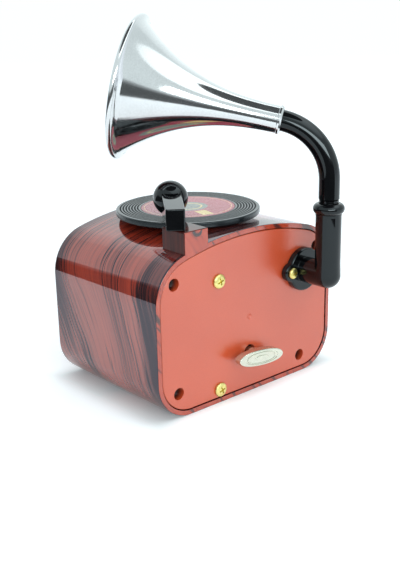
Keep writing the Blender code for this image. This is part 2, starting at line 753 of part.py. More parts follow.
def turntable():
    flange_bottom = CASE_HEIGHT - CASE_WALL - BUSH_FLANGE_HEIGHT - SEAT_GAP
    bush_top = CASE_HEIGHT + BUSH_PROUD
    inner = SPINDLE_RADIUS + RUN_GAP
    bush = turned("spindle_bush", [
        (inner, bush_top), (BUSH_RADIUS, bush_top), (BUSH_RADIUS, flange_bottom + BUSH_FLANGE_HEIGHT),
        (BUSH_FLANGE_RADIUS, flange_bottom + BUSH_FLANGE_HEIGHT), (BUSH_FLANGE_RADIUS, flange_bottom),
        (inner, flange_bottom),
    ], brass(), 24)
    bush.location = (0, RECORD_Y, 0)

    flange_z = bush_top + RUN_GAP
    flange_top = flange_z + SPINDLE_FLANGE_HEIGHT
    label_seat = RECORD_TOP - LABEL_THICKNESS - SEAT_GAP
    spindle = turned("spindle", [
        (0, label_seat), (SPINDLE_RADIUS, label_seat), (SPINDLE_RADIUS, flange_top),
        (SPINDLE_FLANGE_RADIUS, flange_top), (SPINDLE_FLANGE_RADIUS, flange_z), (SPINDLE_RADIUS, flange_z),
        (SPINDLE_RADIUS, TRANSFER_Z - FACE_GAP), (0, TRANSFER_Z - FACE_GAP),
    ], steel(), 20)
    spindle.location = (0, RECORD_Y, 0)

    bore = SPINDLE_RADIUS + RUN_GAP
    recess = SPINDLE_FLANGE_RADIUS + SEAT_GAP
    recess_top = flange_top + RUN_GAP
    label_recess = LABEL_RADIUS + RUN_GAP
    disc = turned("record_disc", [
        (bore, label_seat), (label_recess, label_seat), (label_recess, RECORD_TOP),
        (RECORD_RADIUS - RECORD_EDGE, RECORD_TOP), (RECORD_RADIUS, RECORD_TOP - RECORD_EDGE),
        (RECORD_RADIUS, RECORD_BOTTOM + RECORD_EDGE), (RECORD_RADIUS - 2 * RECORD_EDGE, RECORD_BOTTOM),
        (recess, RECORD_BOTTOM), (recess, recess_top), (bore, recess_top),
    ], black(), 40)
    disc.location = (0, RECORD_Y, 0)

    label = turned("record_label", [
        (0, RECORD_TOP), (LABEL_RADIUS, RECORD_TOP), (LABEL_RADIUS, RECORD_TOP - LABEL_THICKNESS),
        (0, RECORD_TOP - LABEL_THICKNESS),
    ], label_paper(), 40)
    label.location = (0, RECORD_Y, 0)

    gap_phase = 90.0 + 180.0 / SPINDLE_TEETH
    spur_gear(
        "spindle_gear", nylon(), SPINDLE_TEETH, TRANSFER_MODULE, gap_phase, (0, RECORD_Y), TRANSFER_Z,
        TRANSFER_WIDTH, SPINDLE_RADIUS + RUN_GAP / 2,
    )


def tone_arm():
    pin = turned("tone_arm_pin", [
        (0, PEDESTAL_TOP + ARM_PIN_HEIGHT), (ARM_PIN_RADIUS, PEDESTAL_TOP + ARM_PIN_HEIGHT),
        (ARM_PIN_RADIUS, PEDESTAL_TOP - ARM_PIN_DEPTH + SEAT_GAP),
        (0, PEDESTAL_TOP - ARM_PIN_DEPTH + SEAT_GAP),
    ], steel(), 16)
    pin.location = (*ARM_PIVOT, 0)

    half = ARM_WIDTH / 2
    front_top = ARM_BALL_Z + ARM_FRONT_RISE
    front_bottom = front_top - ARM_FRONT_HEIGHT
    middle_z = ARM_BOTTOM + ARM_REAR_HEIGHT / 2
    bm = bmesh.new()
    add_box(bm, (-ARM_REAR, -half, ARM_BOTTOM), (ARM_REACH, half, ARM_BOTTOM + ARM_REAR_HEIGHT))
    for vert in bm.verts:
        if vert.co.x > 0:
            vert.co.z = front_top if vert.co.z > middle_z else front_bottom
            vert.co.y *= ARM_FLARE
    rear = [e for e in bm.edges if e.verts[0].co.x < 0 and e.verts[1].co.x < 0]
    bmesh.ops.bevel(bm, geom=rear, offset=ARM_ROUND, segments=2, affect="EDGES", profile=0.5)
    arm = add_object("tone_arm", bm, black())

    ball = bmesh.new()
    bmesh.ops.create_uvsphere(
        ball, u_segments=24, v_segments=14, radius=ARM_BALL_RADIUS,
        matrix=Matrix.Translation((ARM_REACH, 0, ARM_BALL_Z)),
    )
    ball_part = add_object("tone_arm_ball", ball, None, cutter=True)
    join(arm, ball_part)

    stylus = bmesh.new()
    add_cylinder(
        stylus, "Z", (ARM_REACH, 0, RECORD_TOP + SEAT_GAP), STYLUS_TIP_RADIUS, STYLUS_LENGTH, 10,
        STYLUS_RADIUS,
    )
    stylus_part = add_object("tone_arm_stylus", stylus, None, cutter=True)
    join(arm, stylus_part)

    bore = cylinder_cutter(
        "tone_arm_bore", "Z", (0, 0, ARM_BOTTOM - ARM_PIN_HEIGHT), ARM_PIN_RADIUS + RUN_GAP,
        2 * ARM_PIN_HEIGHT + RUN_GAP, 16,
    )
    cut(arm, bore)
    for item in (arm, ball_part, stylus_part, bore):
        item.location = (*ARM_PIVOT, 0)
        item.rotation_euler = (0, 0, math.radians(ARM_ANGLE))


# Horn group

def horn_frame():
    """Point and direction at the end of the neck's bend."""
    turn = math.radians(90.0 - HORN_TILT)
    heading = math.radians(HORN_HEADING)
    level = Vector((math.sin(heading), -math.cos(heading), 0))
    start = Vector((ELBOW_X, ELBOW_Y, NECK_BEND_Z))
    rise = NECK_BEND_RADIUS * math.sin(turn)
    end = start + level * NECK_BEND_RADIUS * (1 - math.cos(turn)) + Vector((0, 0, rise))
    direction = level * math.cos(math.radians(HORN_TILT)) + Vector((0, 0, math.sin(math.radians(HORN_TILT))))
    return level, end, direction


def tube(name, points, radius, resolution, look=None):
    """Closed tube along a row of points, from a bevelled curve with welded caps."""
    curve = bpy.data.curves.new(name, "CURVE")
    curve.dimensions = "3D"
    curve.bevel_depth = radius
    curve.bevel_resolution = resolution
    curve.use_fill_caps = True
    spline = curve.splines.new("POLY")
    spline.points.add(len(points) - 1)
    for control, point in zip(spline.points, points):
        control.co = (*point, 1.0)
    guide = bpy.data.objects.new(name + "_curve", curve)
    cutters.objects.link(guide)
    graph = bpy.context.evaluated_depsgraph_get()
    mesh = bpy.data.meshes.new_from_object(guide.evaluated_get(graph))
    bpy.data.objects.remove(guide, do_unlink=True)
    bm = bmesh.new()
    bm.from_mesh(mesh)
    bpy.data.meshes.remove(mesh)
    bmesh.ops.remove_doubles(bm, verts=bm.verts, dist=WELD)
    return add_object(name, bm, look, cutter=look is None)


def horn_neck():
    level, end, direction = horn_frame()
    foot = Vector((ELBOW_X, ELBOW_Y, SOCKET_TOP + COLLAR_HEIGHT + NECK_GROOVE_HEIGHT))
    bend_start = Vector((ELBOW_X, ELBOW_Y, NECK_BEND_Z))
    bend = []
    for i in range(NECK_BEND_STEPS + 1):
        turn = math.radians((90.0 - HORN_TILT) * i / NECK_BEND_STEPS)
        lift = Vector((0, 0, NECK_BEND_RADIUS * math.sin(turn)))
        bend.append(bend_start + level * NECK_BEND_RADIUS * (1 - math.cos(turn)) + lift)
    tip = end + direction * BELL_SLEEVE
    neck = tube("horn_neck", [foot] + bend + [tip], NECK_RADIUS, 7, black())

    plug = bmesh.new()
    plug_length = foot.z + NECK_WALL - NECK_BOTTOM
    add_cylinder(plug, "Z", (ELBOW_X, ELBOW_Y, NECK_BOTTOM), NECK_RADIUS - NECK_GROOVE_DEPTH, plug_length, 18)
    join(neck, add_object("neck_plug", plug, None, cutter=True))

    bore_foot = Vector((ELBOW_X, ELBOW_Y, NECK_BOTTOM - NECK_WALL))
    cut(neck, tube("neck_bore", [bore_foot] + bend + [tip + direction * NECK_WALL], NECK_BORE_RADIUS, 4))
    return neck


def horn_bell():
    """Flare turned about the horn's axis; its sleeve slips over the end of the neck."""
    _, end, direction = horn_frame()
    small = NECK_RADIUS + RUN_GAP + BELL_WALL
    outer = []
    for i in range(BELL_STEPS + 1):
        t = i / BELL_STEPS
        radius = small + (BELL_RADIUS - BELL_LIP_RADIUS - small) * t ** FLARE_POWER
        outer.append((radius, BELL_LENGTH * t))
    inner = []
    for i in range(BELL_STEPS, 0, -1):
        t = i / BELL_STEPS
        slope = FLARE_POWER * (BELL_RADIUS - BELL_LIP_RADIUS - small) * t ** (FLARE_POWER - 1) / BELL_LENGTH
        size = math.sqrt(1 + slope * slope)
        radius, height = outer[i]
        inner.append((radius - BELL_WALL / size, height + BELL_WALL * slope / size))
    throat = NECK_RADIUS + RUN_GAP
    inner = [point for point in inner if point[1] > BELL_SLEEVE + 2 * RUN_GAP]
    lip_centre = (BELL_RADIUS - BELL_LIP_RADIUS, BELL_LENGTH)
    lip_end = BELL_LIP_START + BELL_LIP_SWEEP
    lip = arc(lip_centre, BELL_LIP_RADIUS, lip_end, BELL_LIP_START, BELL_LIP_STEPS)
    stop = BELL_SLEEVE + RUN_GAP
    sleeve = [(throat, 0.0), (throat, stop), (NECK_BORE_RADIUS, stop)]
    profile = lip + outer[-2::-1] + sleeve + inner[::-1]
    bell = turned("horn_bell", profile, silver(), 32)
    bell.location = end
    bell.rotation_euler = direction.to_track_quat("Z", "Y").to_euler()
    return bell


# Winding group

def winding_key():
    outline = []
    half_length = KEY_LENGTH / 2
    half_height = KEY_HEIGHT / 2
    end_half = KEY_END_HEIGHT / 2
    span = math.sqrt(1 - (end_half / half_height) ** 2)
    steps = 8
    for i in range(steps + 1):
        u = -1 + 2 * i / steps
        outline.append((half_length * u, half_height * math.sqrt(1 - (u * span) ** 2)))
    outline += [(-x, -z) for x, z in outline]
    face_y = COVER_OUTER_Y + KEY_STAND
    bm = bmesh.new()
    turn = Matrix.Translation((0, 0, KEY_Z)) @ Matrix.Rotation(math.radians(-KEY_TILT), 4, "Y")
    add_prism(bm, outline, turn @ facing(face_y + KEY_PLATE), KEY_PLATE + KEY_SKIRT)
    key = add_object("winding_key", bm, nickel())

    hollow = bmesh.new()
    wall_x = (half_length - KEY_SKIRT_WALL) / half_length
    wall_z = (half_height - KEY_SKIRT_WALL) / half_height
    inner = [(x * wall_x, z * wall_z) for x, z in outline]
    add_prism(hollow, inner, turn @ facing(face_y), 2 * KEY_SKIRT)
    cut(key, add_object("key_hollow", hollow, None, cutter=True))

    hub = bmesh.new()
    hub_start = COVER_INNER_Y - FACE_GAP
    add_cylinder(hub, "Y", (0, hub_start, KEY_Z), KEY_HUB_RADIUS, face_y + KEY_PLATE / 2 - hub_start, 16)
    join(key, add_object("key_hub", hub, None, cutter=True))
    arbor_end = COVER_OUTER_Y + KEY_STAND / 2
    socket_start = (0, hub_start - FACE_GAP, KEY_Z)
    cut(key, cylinder_cutter(
        "key_socket", "Y", socket_start, ARBOR_RADIUS + RUN_GAP / 2, arbor_end - hub_start + 2 * FACE_GAP, 12,
    ))

    bm = bmesh.new()
    arbor_start = BARREL_FRONT_Y - CROWN_HEIGHT - BRIDGE_THICKNESS - 3 * FACE_GAP
    add_cylinder(bm, "Y", (0, arbor_start, KEY_Z), ARBOR_RADIUS, arbor_end - arbor_start, 12)
    add_object("winding_arbor", bm, steel())

    bm = bmesh.new()
    wheel_y = BEDPLATE_BACK_Y + FACE_GAP + RATCHET_WIDTH
    points = []
    low = RATCHET_RADIUS - RATCHET_TOOTH
    rake = math.radians(RATCHET_RAKE)
    for i in range(RATCHET_TEETH):
        turn_start = 2 * math.pi * i / RATCHET_TEETH
        points.append((RATCHET_RADIUS * math.cos(turn_start), RATCHET_RADIUS * math.sin(turn_start)))
        points.append((low * math.cos(turn_start + rake), low * math.sin(turn_start + rake)))
    add_prism(bm, points, Matrix.Translation((0, 0, KEY_Z)) @ facing(wheel_y), RATCHET_WIDTH)
    wheel = add_object("ratchet_wheel", bm, steel())
    cut(wheel, cylinder_cutter(
        "ratchet_bore", "Y", (0, wheel_y - 2 * RATCHET_WIDTH, KEY_Z), ARBOR_RADIUS + RUN_GAP / 2,
        3 * RATCHET_WIDTH, 12,
    ))


def click_spring():
    """Leaf that rests just above the ratchet's teeth, bent from a foot on the bedplate."""
    low_y = BEDPLATE_BACK_Y + FACE_GAP
    high_y = low_y + RATCHET_WIDTH
    leaf_z = KEY_Z + RATCHET_RADIUS + SEAT_GAP
    bm = bmesh.new()
    add_box(bm, (-CLICK_LENGTH, low_y, leaf_z), (CLICK_TIP, high_y, leaf_z + CLICK_THICKNESS))
    leaf = add_object("click_spring", bm, dark_steel())
    foot_x = -CLICK_LENGTH + CLICK_THICKNESS
    foot_z = leaf_z - CLICK_FOOT_DROP
    foot = box_cutter(
        "click_foot", (foot_x - CLICK_FOOT_WIDTH, low_y, foot_z),
        (foot_x, high_y, foot_z + CLICK_FOOT_HEIGHT),
    )
    join(leaf, foot)


def spring_barrel():
    inner_front = BARREL_FRONT_Y + CROWN_WEB
    bm = bmesh.new()
    add_cylinder(bm, "Y", (0, BARREL_FRONT_Y, KEY_Z), BARREL_RADIUS, BARREL_DEPTH - BARREL_LID - FACE_GAP, 30)
    barrel = add_object("spring_barrel", bm, brass())
    cut(barrel, cylinder_cutter(
        "barrel_hollow", "Y", (0, inner_front, KEY_Z), BARREL_RADIUS - BARREL_WALL, BARREL_DEPTH, 30,
    ))

    teeth = bmesh.new()
    half_tip = TOOTH_FILL * math.pi * CROWN_MODULE / 2 - TOOTH_ADDENDUM * CROWN_MODULE * TOOTH_SLOPE
    half_root = half_tip + CROWN_HEIGHT * TOOTH_SLOPE
    root = CROWN_WEB / 2
    corners = ((-half_root, root), (-half_root, 0), (-half_tip, -CROWN_HEIGHT),
               (half_tip, -CROWN_HEIGHT), (half_root, 0), (half_root, root))
    centre = Matrix.Translation((0, BARREL_FRONT_Y, KEY_Z))
    outwards = Matrix.Translation((0, 0, BARREL_RADIUS - CROWN_FACE))
    for i in range(CROWN_TEETH):
        turn = Matrix.Rotation(2 * math.pi * (i + 0.5) / CROWN_TEETH, 4, "Y")
        add_prism(teeth, corners, centre @ turn @ outwards, CROWN_FACE - CROWN_EDGE)
    join(barrel, add_object("crown_teeth", teeth, None, cutter=True))
    bore = ARBOR_RADIUS + RUN_GAP
    cut(barrel, cylinder_cutter(
        "barrel_bore", "Y", (0, BARREL_FRONT_Y - BARREL_DEPTH, KEY_Z), bore, 2 * BARREL_DEPTH, 16,
    ))

    bm = bmesh.new()
    lid_y = BARREL_BACK_Y - BARREL_LID
    add_cylinder(bm, "Y", (0, lid_y, KEY_Z), BARREL_RADIUS, BARREL_LID, 30)
    lid = add_object("barrel_lid", bm, brass())
    cut(lid, cylinder_cutter("lid_bore", "Y", (0, lid_y - BARREL_LID, KEY_Z), bore, 3 * BARREL_LID, 16))


def mainspring():
    """Spiral band between the arbor and the barrel's wall."""
    steps = SPRING_STEPS * SPRING_TURNS
    first = ARBOR_RADIUS + SPRING_BAND / 2 + 4 * RUN_GAP
    last = BARREL_RADIUS - BARREL_WALL - SPRING_BAND / 2 - 2 * SEAT_GAP
    low_y = BARREL_FRONT_Y + CROWN_WEB + FACE_GAP
    high_y = BARREL_BACK_Y - BARREL_LID - 2 * FACE_GAP
    bm = bmesh.new()
    line = []
    for i in range(steps + 1):
        turn = 2 * math.pi * SPRING_TURNS * i / steps
        radius = first + (last - first) * i / steps
        line.append(bm.verts.new((radius * math.sin(turn), low_y, KEY_Z + radius * math.cos(turn))))
    edges = [bm.edges.new(pair) for pair in zip(line, line[1:])]
    raised = bmesh.ops.extrude_edge_only(bm, edges=edges)["geom"]
    moved = [item for item in raised if isinstance(item, bmesh.types.BMVert)]
    bmesh.ops.translate(bm, verts=moved, vec=(0, high_y - low_y, 0))
    spring = add_object("mainspring", bm, dark_steel())
    band = spring.modifiers.new("band", "SOLIDIFY")
    band.thickness = SPRING_BAND
    band.offset = 0


def barrel_bridge():
    """Strap across the front of the barrel, screwed to two posts of the bedplate."""
    front = BRIDGE_BACK_Y - BRIDGE_THICKNESS
    half = BRIDGE_WIDTH / 2
    reach = BRIDGE_POST_X + BRIDGE_POST_RADIUS
    bm = bmesh.new()
    add_box(bm, (-reach, front, KEY_Z - half), (reach, BRIDGE_BACK_Y, KEY_Z + half))
    bridge = add_object("barrel_bridge", bm, brass())
    starts = [(x, front - BRIDGE_THICKNESS, KEY_Z) for x in (-BRIDGE_POST_X, BRIDGE_POST_X)]
    cut(bridge, cylinders_cutter(
        "bridge_holes", "Y", starts, SMALL_SCREW_RADIUS + RUN_GAP, 3 * BRIDGE_THICKNESS, 10,
    ))
    cut(bridge, cylinder_cutter(
        "bridge_bore", "Y", (0, front - BRIDGE_THICKNESS, KEY_Z), ARBOR_RADIUS + RUN_GAP,
        3 * BRIDGE_THICKNESS, 12,
    ))


# Movement frame and train

def bedplate():
    outline = []
    corners = ((BEDPLATE_RIGHT, BEDPLATE_BOTTOM, -90), (BEDPLATE_RIGHT, BEDPLATE_TOP, 0),
               (-BEDPLATE_LEFT, BEDPLATE_TOP, 90), (-BEDPLATE_LEFT, BEDPLATE_BOTTOM, 180))
    for x, z, angle in corners:
        centre_x = x - math.copysign(BEDPLATE_CORNER, x)
        centre_z = z + BEDPLATE_CORNER if z == BEDPLATE_BOTTOM else z - BEDPLATE_CORNER
        outline += arc((centre_x, centre_z), BEDPLATE_CORNER, angle, angle + 90, 2)
    bm = bmesh.new()
    add_prism(bm, outline, facing(BEDPLATE_BACK_Y), BEDPLATE_THICKNESS)
    plate = add_object("bedplate", bm, zinc())

    riser = box_cutter(
        "comb_riser",
        (COMB_END_X, COMB_Y + COMB_THICKNESS / 2 + FACE_GAP, CYLINDER_BOTTOM - COMB_RISER_MARGIN),
        (COMB_END_X + COMB_RISER_WIDTH, BEDPLATE_FRONT_Y + BEDPLATE_THICKNESS / 2,
         CYLINDER_TOP + COMB_RISER_MARGIN),
    )
    join(plate, riser)
    posts = bmesh.new()
    post_y = BRIDGE_BACK_Y + FACE_GAP
    post_length = BEDPLATE_FRONT_Y + BEDPLATE_THICKNESS / 2 - post_y
    for side in (-1, 1):
        start = (side * BRIDGE_POST_X, post_y, KEY_Z)
        add_cylinder(posts, "Y", start, BRIDGE_POST_RADIUS, post_length, 12)
    join(plate, add_object("bridge_posts", posts, None, cutter=True))
    through = 3 * BEDPLATE_THICKNESS
    start_y = BEDPLATE_FRONT_Y - BEDPLATE_THICKNESS
    cut(plate, cylinder_cutter("plate_bore", "Y", (0, start_y, KEY_Z), ARBOR_RADIUS + RUN_GAP, through, 16))
    screws = [(MOVEMENT_SCREW_X, start_y, z) for z in MOVEMENT_SCREW_ZS]
    cut(plate, cylinders_cutter("plate_screw_holes", "Y", screws, BRASS_SCREW_RADIUS + RUN_GAP, through, 12))
    holes = [(x, BEDPLATE_FRONT_Y - BEDPLATE_THICKNESS, z) for x, z in plate_screw_places()]
    cut(plate, cylinders_cutter(
        "plate_small_holes", "Y", holes, SMALL_SCREW_RADIUS + RUN_GAP, through, 10,
    ))
    blind = [(COMB_SCREW_X, COMB_Y, z) for z in COMB_SCREW_ZS]
    blind += [(side * BRIDGE_POST_X, BRIDGE_BACK_Y, KEY_Z) for side in (-1, 1)]
    cut(plate, cylinders_cutter(
        "blind_holes", "Y", blind, SMALL_SCREW_RADIUS + RUN_GAP, SMALL_SCREW_LENGTH + 2 * FACE_GAP, 8,
    ))


def bearing_screw_places():
    """One screw in the middle of each bearing bracket's foot."""
    middle = (BEARING_FOOT + BEARING_THICKNESS) / 2
    return ((0.0, LOWER_BEARING_Z + middle), (0.0, UPPER_BEARING_Z + BEARING_THICKNESS - middle))


def governor_screw_place():
    return (GOVERNOR_X, GOVERNOR_HIGH_Z - GOVERNOR_PLATE - SMALL_HEAD_RADIUS)


def plate_screw_places():
    return bearing_screw_places() + (governor_screw_place(),)


def bearing(name, z, foot_low, foot_high, screw_z):
    half = BEARING_WIDTH / 2
    front = CYLINDER_Y - half
    foot_back = BEDPLATE_FRONT_Y - FACE_GAP
    bm = bmesh.new()
    add_box(bm, (-half, front, z), (half, foot_back, z + BEARING_THICKNESS))
    bracket = add_object(name, bm, brass())
    foot_front = foot_back - BEARING_THICKNESS
    foot = box_cutter(name + "_foot", (-half, foot_front, foot_low), (half, foot_back, foot_high))
    join(bracket, foot)
    start = (0, CYLINDER_Y, z - BEARING_THICKNESS)
    cut(bracket, cylinder_cutter(
        name + "_bore", "Z", start, CYLINDER_ARBOR_RADIUS + RUN_GAP, 3 * BEARING_THICKNESS, 16,
    ))
    hole = (0, foot_back - 2 * BEARING_THICKNESS, screw_z)
    cut(bracket, cylinder_cutter(
        name + "_hole", "Y", hole, SMALL_SCREW_RADIUS + RUN_GAP, 3 * BEARING_THICKNESS, 10,
    ))
    return bracket


def bearings():
    (_, low_screw), (_, high_screw) = bearing_screw_places()
    bearing(
        "lower_bearing", LOWER_BEARING_Z, LOWER_BEARING_Z + BEARING_THICKNESS / 2,
        LOWER_BEARING_Z + BEARING_FOOT, low_screw,
    )
    bearing(
        "upper_bearing", UPPER_BEARING_Z, UPPER_BEARING_Z - BEARING_FOOT + BEARING_THICKNESS,
        UPPER_BEARING_Z + BEARING_THICKNESS / 2, high_screw,
    )


def cylinder_train():
    bm = bmesh.new()
    arbor_bottom = PINION_Z - PINION_WIDTH / 2 - FACE_GAP
    add_cylinder(bm, "Z", (0, CYLINDER_Y, arbor_bottom), CYLINDER_ARBOR_RADIUS, ARBOR_TOP - arbor_bottom, 12)
    add_object("cylinder_arbor", bm, steel())
    bore = CYLINDER_ARBOR_RADIUS + RUN_GAP / 2
    centre = (0, CYLINDER_Y)
    spur_gear(
        "cylinder_pinion", brass(), CYLINDER_PINION_TEETH, CROWN_MODULE, 90.0, centre,
        PINION_Z - PINION_WIDTH / 2, PINION_WIDTH, bore,
    )
    spur_gear("great_wheel", brass(), GREAT_TEETH, GREAT_MODULE, 0.0, centre, GREAT_Z, GREAT_WIDTH, bore)
    spur_gear(
        "transfer_gear", nylon(), TRANSFER_TEETH, TRANSFER_MODULE, -90.0, centre, TRANSFER_Z, TRANSFER_WIDTH,
        bore,
    )
    pin_cylinder()


def pin_pattern(track, place):
    """True where a track of the cylinder carries a pin; a plain rising and falling scale."""
    return (place * PIN_PLACE_STEP + track * PIN_TRACK_STEP) % PINS_PER_TURN in PIN_SLOTS


def pin_cylinder():
    bm = bmesh.new()
    rings = []
    for row in range(COMB_TEETH + 1):
        z = CYLINDER_BOTTOM + FACE_GAP + (CYLINDER_LENGTH - 2 * FACE_GAP) * row / COMB_TEETH
        ring = []
        for k in range(PINS_PER_TURN):
            turn = 2 * math.pi * k / PINS_PER_TURN
            x = CYLINDER_RADIUS * math.cos(turn)
            ring.append(bm.verts.new((x, CYLINDER_Y + CYLINDER_RADIUS * math.sin(turn), z)))
        rings.append(ring)
    pinned = []
    for row in range(COMB_TEETH):
        for k in range(PINS_PER_TURN):
            n = (k + 1) % PINS_PER_TURN
            face = bm.faces.new((rings[row][k], rings[row][n], rings[row + 1][n], rings[row + 1][k]))
            if pin_pattern(row, k):
                pinned.append(face)
    bm.faces.new(list(reversed(rings[0])))
    bm.faces.new(rings[-1])
    bm.normal_update()
    for face in pinned:
        bmesh.ops.inset_individual(bm, faces=[face], thickness=PIN_INSET)
        normal = face.normal.copy()
        raised = bmesh.ops.extrude_discrete_faces(bm, faces=[face])["faces"]
        bmesh.ops.translate(bm, verts=raised[0].verts, vec=normal * PIN_HEIGHT)
    cylinder = add_object("pin_cylinder", bm, brass())
    start = (0, CYLINDER_Y, CYLINDER_BOTTOM - CYLINDER_LENGTH)
    cut(cylinder, cylinder_cutter(
        "pin_cylinder_bore", "Z", start, CYLINDER_ARBOR_RADIUS + RUN_GAP / 2, 3 * CYLINDER_LENGTH, 12,
    ))


def comb():
    pitch = CYLINDER_LENGTH / COMB_TEETH
    outline = [(COMB_END_X, CYLINDER_TOP), (COMB_END_X, CYLINDER_BOTTOM)]
    for i in range(COMB_TEETH):
        low = CYLINDER_BOTTOM + pitch * i + COMB_GAP / 2
        high = CYLINDER_BOTTOM + pitch * (i + 1) - COMB_GAP / 2
        root = COMB_ROOT_X + COMB_TOOTH_SHORTER * i / (COMB_TEETH - 1)
        outline += [(root, low), (COMB_TIP_X, low), (COMB_TIP_X, high), (root, high)]
    bm = bmesh.new()
    add_prism(bm, outline, facing(COMB_Y + COMB_THICKNESS / 2), COMB_THICKNESS)
    plate = add_object("comb", bm, dark_steel())
    starts = [(COMB_SCREW_X, COMB_Y - COMB_THICKNESS, z) for z in COMB_SCREW_ZS]
    hole_radius = SMALL_SCREW_RADIUS + RUN_GAP
    cut(plate, cylinders_cutter("comb_holes", "Y", starts, hole_radius, 2 * COMB_THICKNESS, 10))


def small_screws():
    """Slotted screws of the movement, with their heads towards the front."""
    mesh = screw_mesh(
        "frame_screw", steel(), SMALL_HEAD_RADIUS, SMALL_HEAD_HEIGHT, SMALL_SCREW_RADIUS, SMALL_SCREW_LENGTH,
        cross=False,
    )
    comb_front = COMB_Y - COMB_THICKNESS / 2 - SEAT_GAP / 2
    foot_front = BEDPLATE_FRONT_Y - FACE_GAP - BEARING_THICKNESS - SEAT_GAP / 2
    bridge_front = BRIDGE_BACK_Y - BRIDGE_THICKNESS - SEAT_GAP / 2
    governor_front = BEDPLATE_FRONT_Y - FACE_GAP - 2 * GOVERNOR_PLATE - SEAT_GAP / 2
    bearing_places = [(x, foot_front, z) for x, z in bearing_screw_places()]
    bridge_places = [(x, bridge_front, KEY_Z) for x in (-BRIDGE_POST_X, BRIDGE_POST_X)]
    place_copies("comb_screw", mesh, [(COMB_SCREW_X, comb_front, z) for z in COMB_SCREW_ZS], True)
    place_copies("bearing_screw", mesh, bearing_places, True)
    place_copies("bridge_screw", mesh, bridge_places, True)
    governor_x, governor_z = governor_screw_place()
    place_copies("governor_screw", mesh, [(governor_x, governor_front, governor_z)], True)


# Governor

def governor():
    back = BEDPLATE_FRONT_Y - FACE_GAP
    left = GOVERNOR_X - GOVERNOR_SIDE
    right = WORM_X + GOVERNOR_SIDE
    top = GOVERNOR_HIGH_Z + GOVERNOR_PLATE
    bm = bmesh.new()
    add_box(bm, (left, back - 2 * GOVERNOR_PLATE, GOVERNOR_LOW_Z), (right, back, top))
    frame = add_object("governor_frame", bm, brass())
    plates = bmesh.new()
    inner = back - GOVERNOR_PLATE
    add_box(plates, (left, GOVERNOR_FRONT_Y, GOVERNOR_LOW_Z), (right, inner, GOVERNOR_LOW_Z + GOVERNOR_PLATE))
    join(frame, add_object("governor_low_plate", plates, None, cutter=True))
    plates = bmesh.new()
    add_box(plates, (left, GOVERNOR_FRONT_Y, GOVERNOR_HIGH_Z), (right, inner, top))
    join(frame, add_object("governor_high_plate", plates, None, cutter=True))
    wall = box_cutter(
        "governor_front_wall",
        (WORM_X - GOVERNOR_SIDE, GOVERNOR_FRONT_Y, GOVERNOR_LOW_Z + GOVERNOR_PLATE / 2),
        (right, GOVERNOR_FRONT_Y + GOVERNOR_PLATE, GOVERNOR_HIGH_Z + GOVERNOR_PLATE / 2),
    )
    join(frame, wall)
    worm_start = (WORM_X, GOVERNOR_FRONT_Y - GOVERNOR_PLATE, WORM_Z)
    cut(frame, cylinder_cutter(
        "worm_pivots", "Y", worm_start, WORM_SHAFT_RADIUS + RUN_GAP,
        back - worm_start[1] + GOVERNOR_PLATE, 12,
    ))
    screw_x, screw_z = governor_screw_place()
    cut(frame, cylinder_cutter(
        "governor_screw_hole", "Y", (screw_x, back - 3 * GOVERNOR_PLATE, screw_z),
        SMALL_SCREW_RADIUS + RUN_GAP, 4 * GOVERNOR_PLATE, 8,
    ))
    arbor_start = (GOVERNOR_X, CYLINDER_Y, GOVERNOR_LOW_Z - GOVERNOR_PLATE)
    cut(frame, cylinder_cutter(
        "governor_pivots", "Z", arbor_start, GOVERNOR_ARBOR_RADIUS + RUN_GAP,
        top - arbor_start[2] + GOVERNOR_PLATE, 12,
    ))

    bm = bmesh.new()
    low = GOVERNOR_LOW_Z - FACE_GAP
    add_cylinder(bm, "Z", (GOVERNOR_X, CYLINDER_Y, low), GOVERNOR_ARBOR_RADIUS, top + FACE_GAP - low, 10)
    add_object("governor_arbor", bm, steel())
    bore = GOVERNOR_ARBOR_RADIUS + RUN_GAP / 2
    centre = (GOVERNOR_X, CYLINDER_Y)
    gap_phase = 180.0 + 180.0 / GOVERNOR_PINION_TEETH
    spur_gear(
        "governor_pinion", brass(), GOVERNOR_PINION_TEETH, GREAT_MODULE, gap_phase, centre,
        GREAT_Z - GOVERNOR_PINION_OVERHANG, GREAT_WIDTH + 2 * GOVERNOR_PINION_OVERHANG, bore,
    )
    spur_gear(
        "worm_wheel", nylon(), WORM_WHEEL_TEETH, WORM_MODULE, 0.0, centre, WORM_WHEEL_Z, WORM_WHEEL_WIDTH,
        bore,
    )


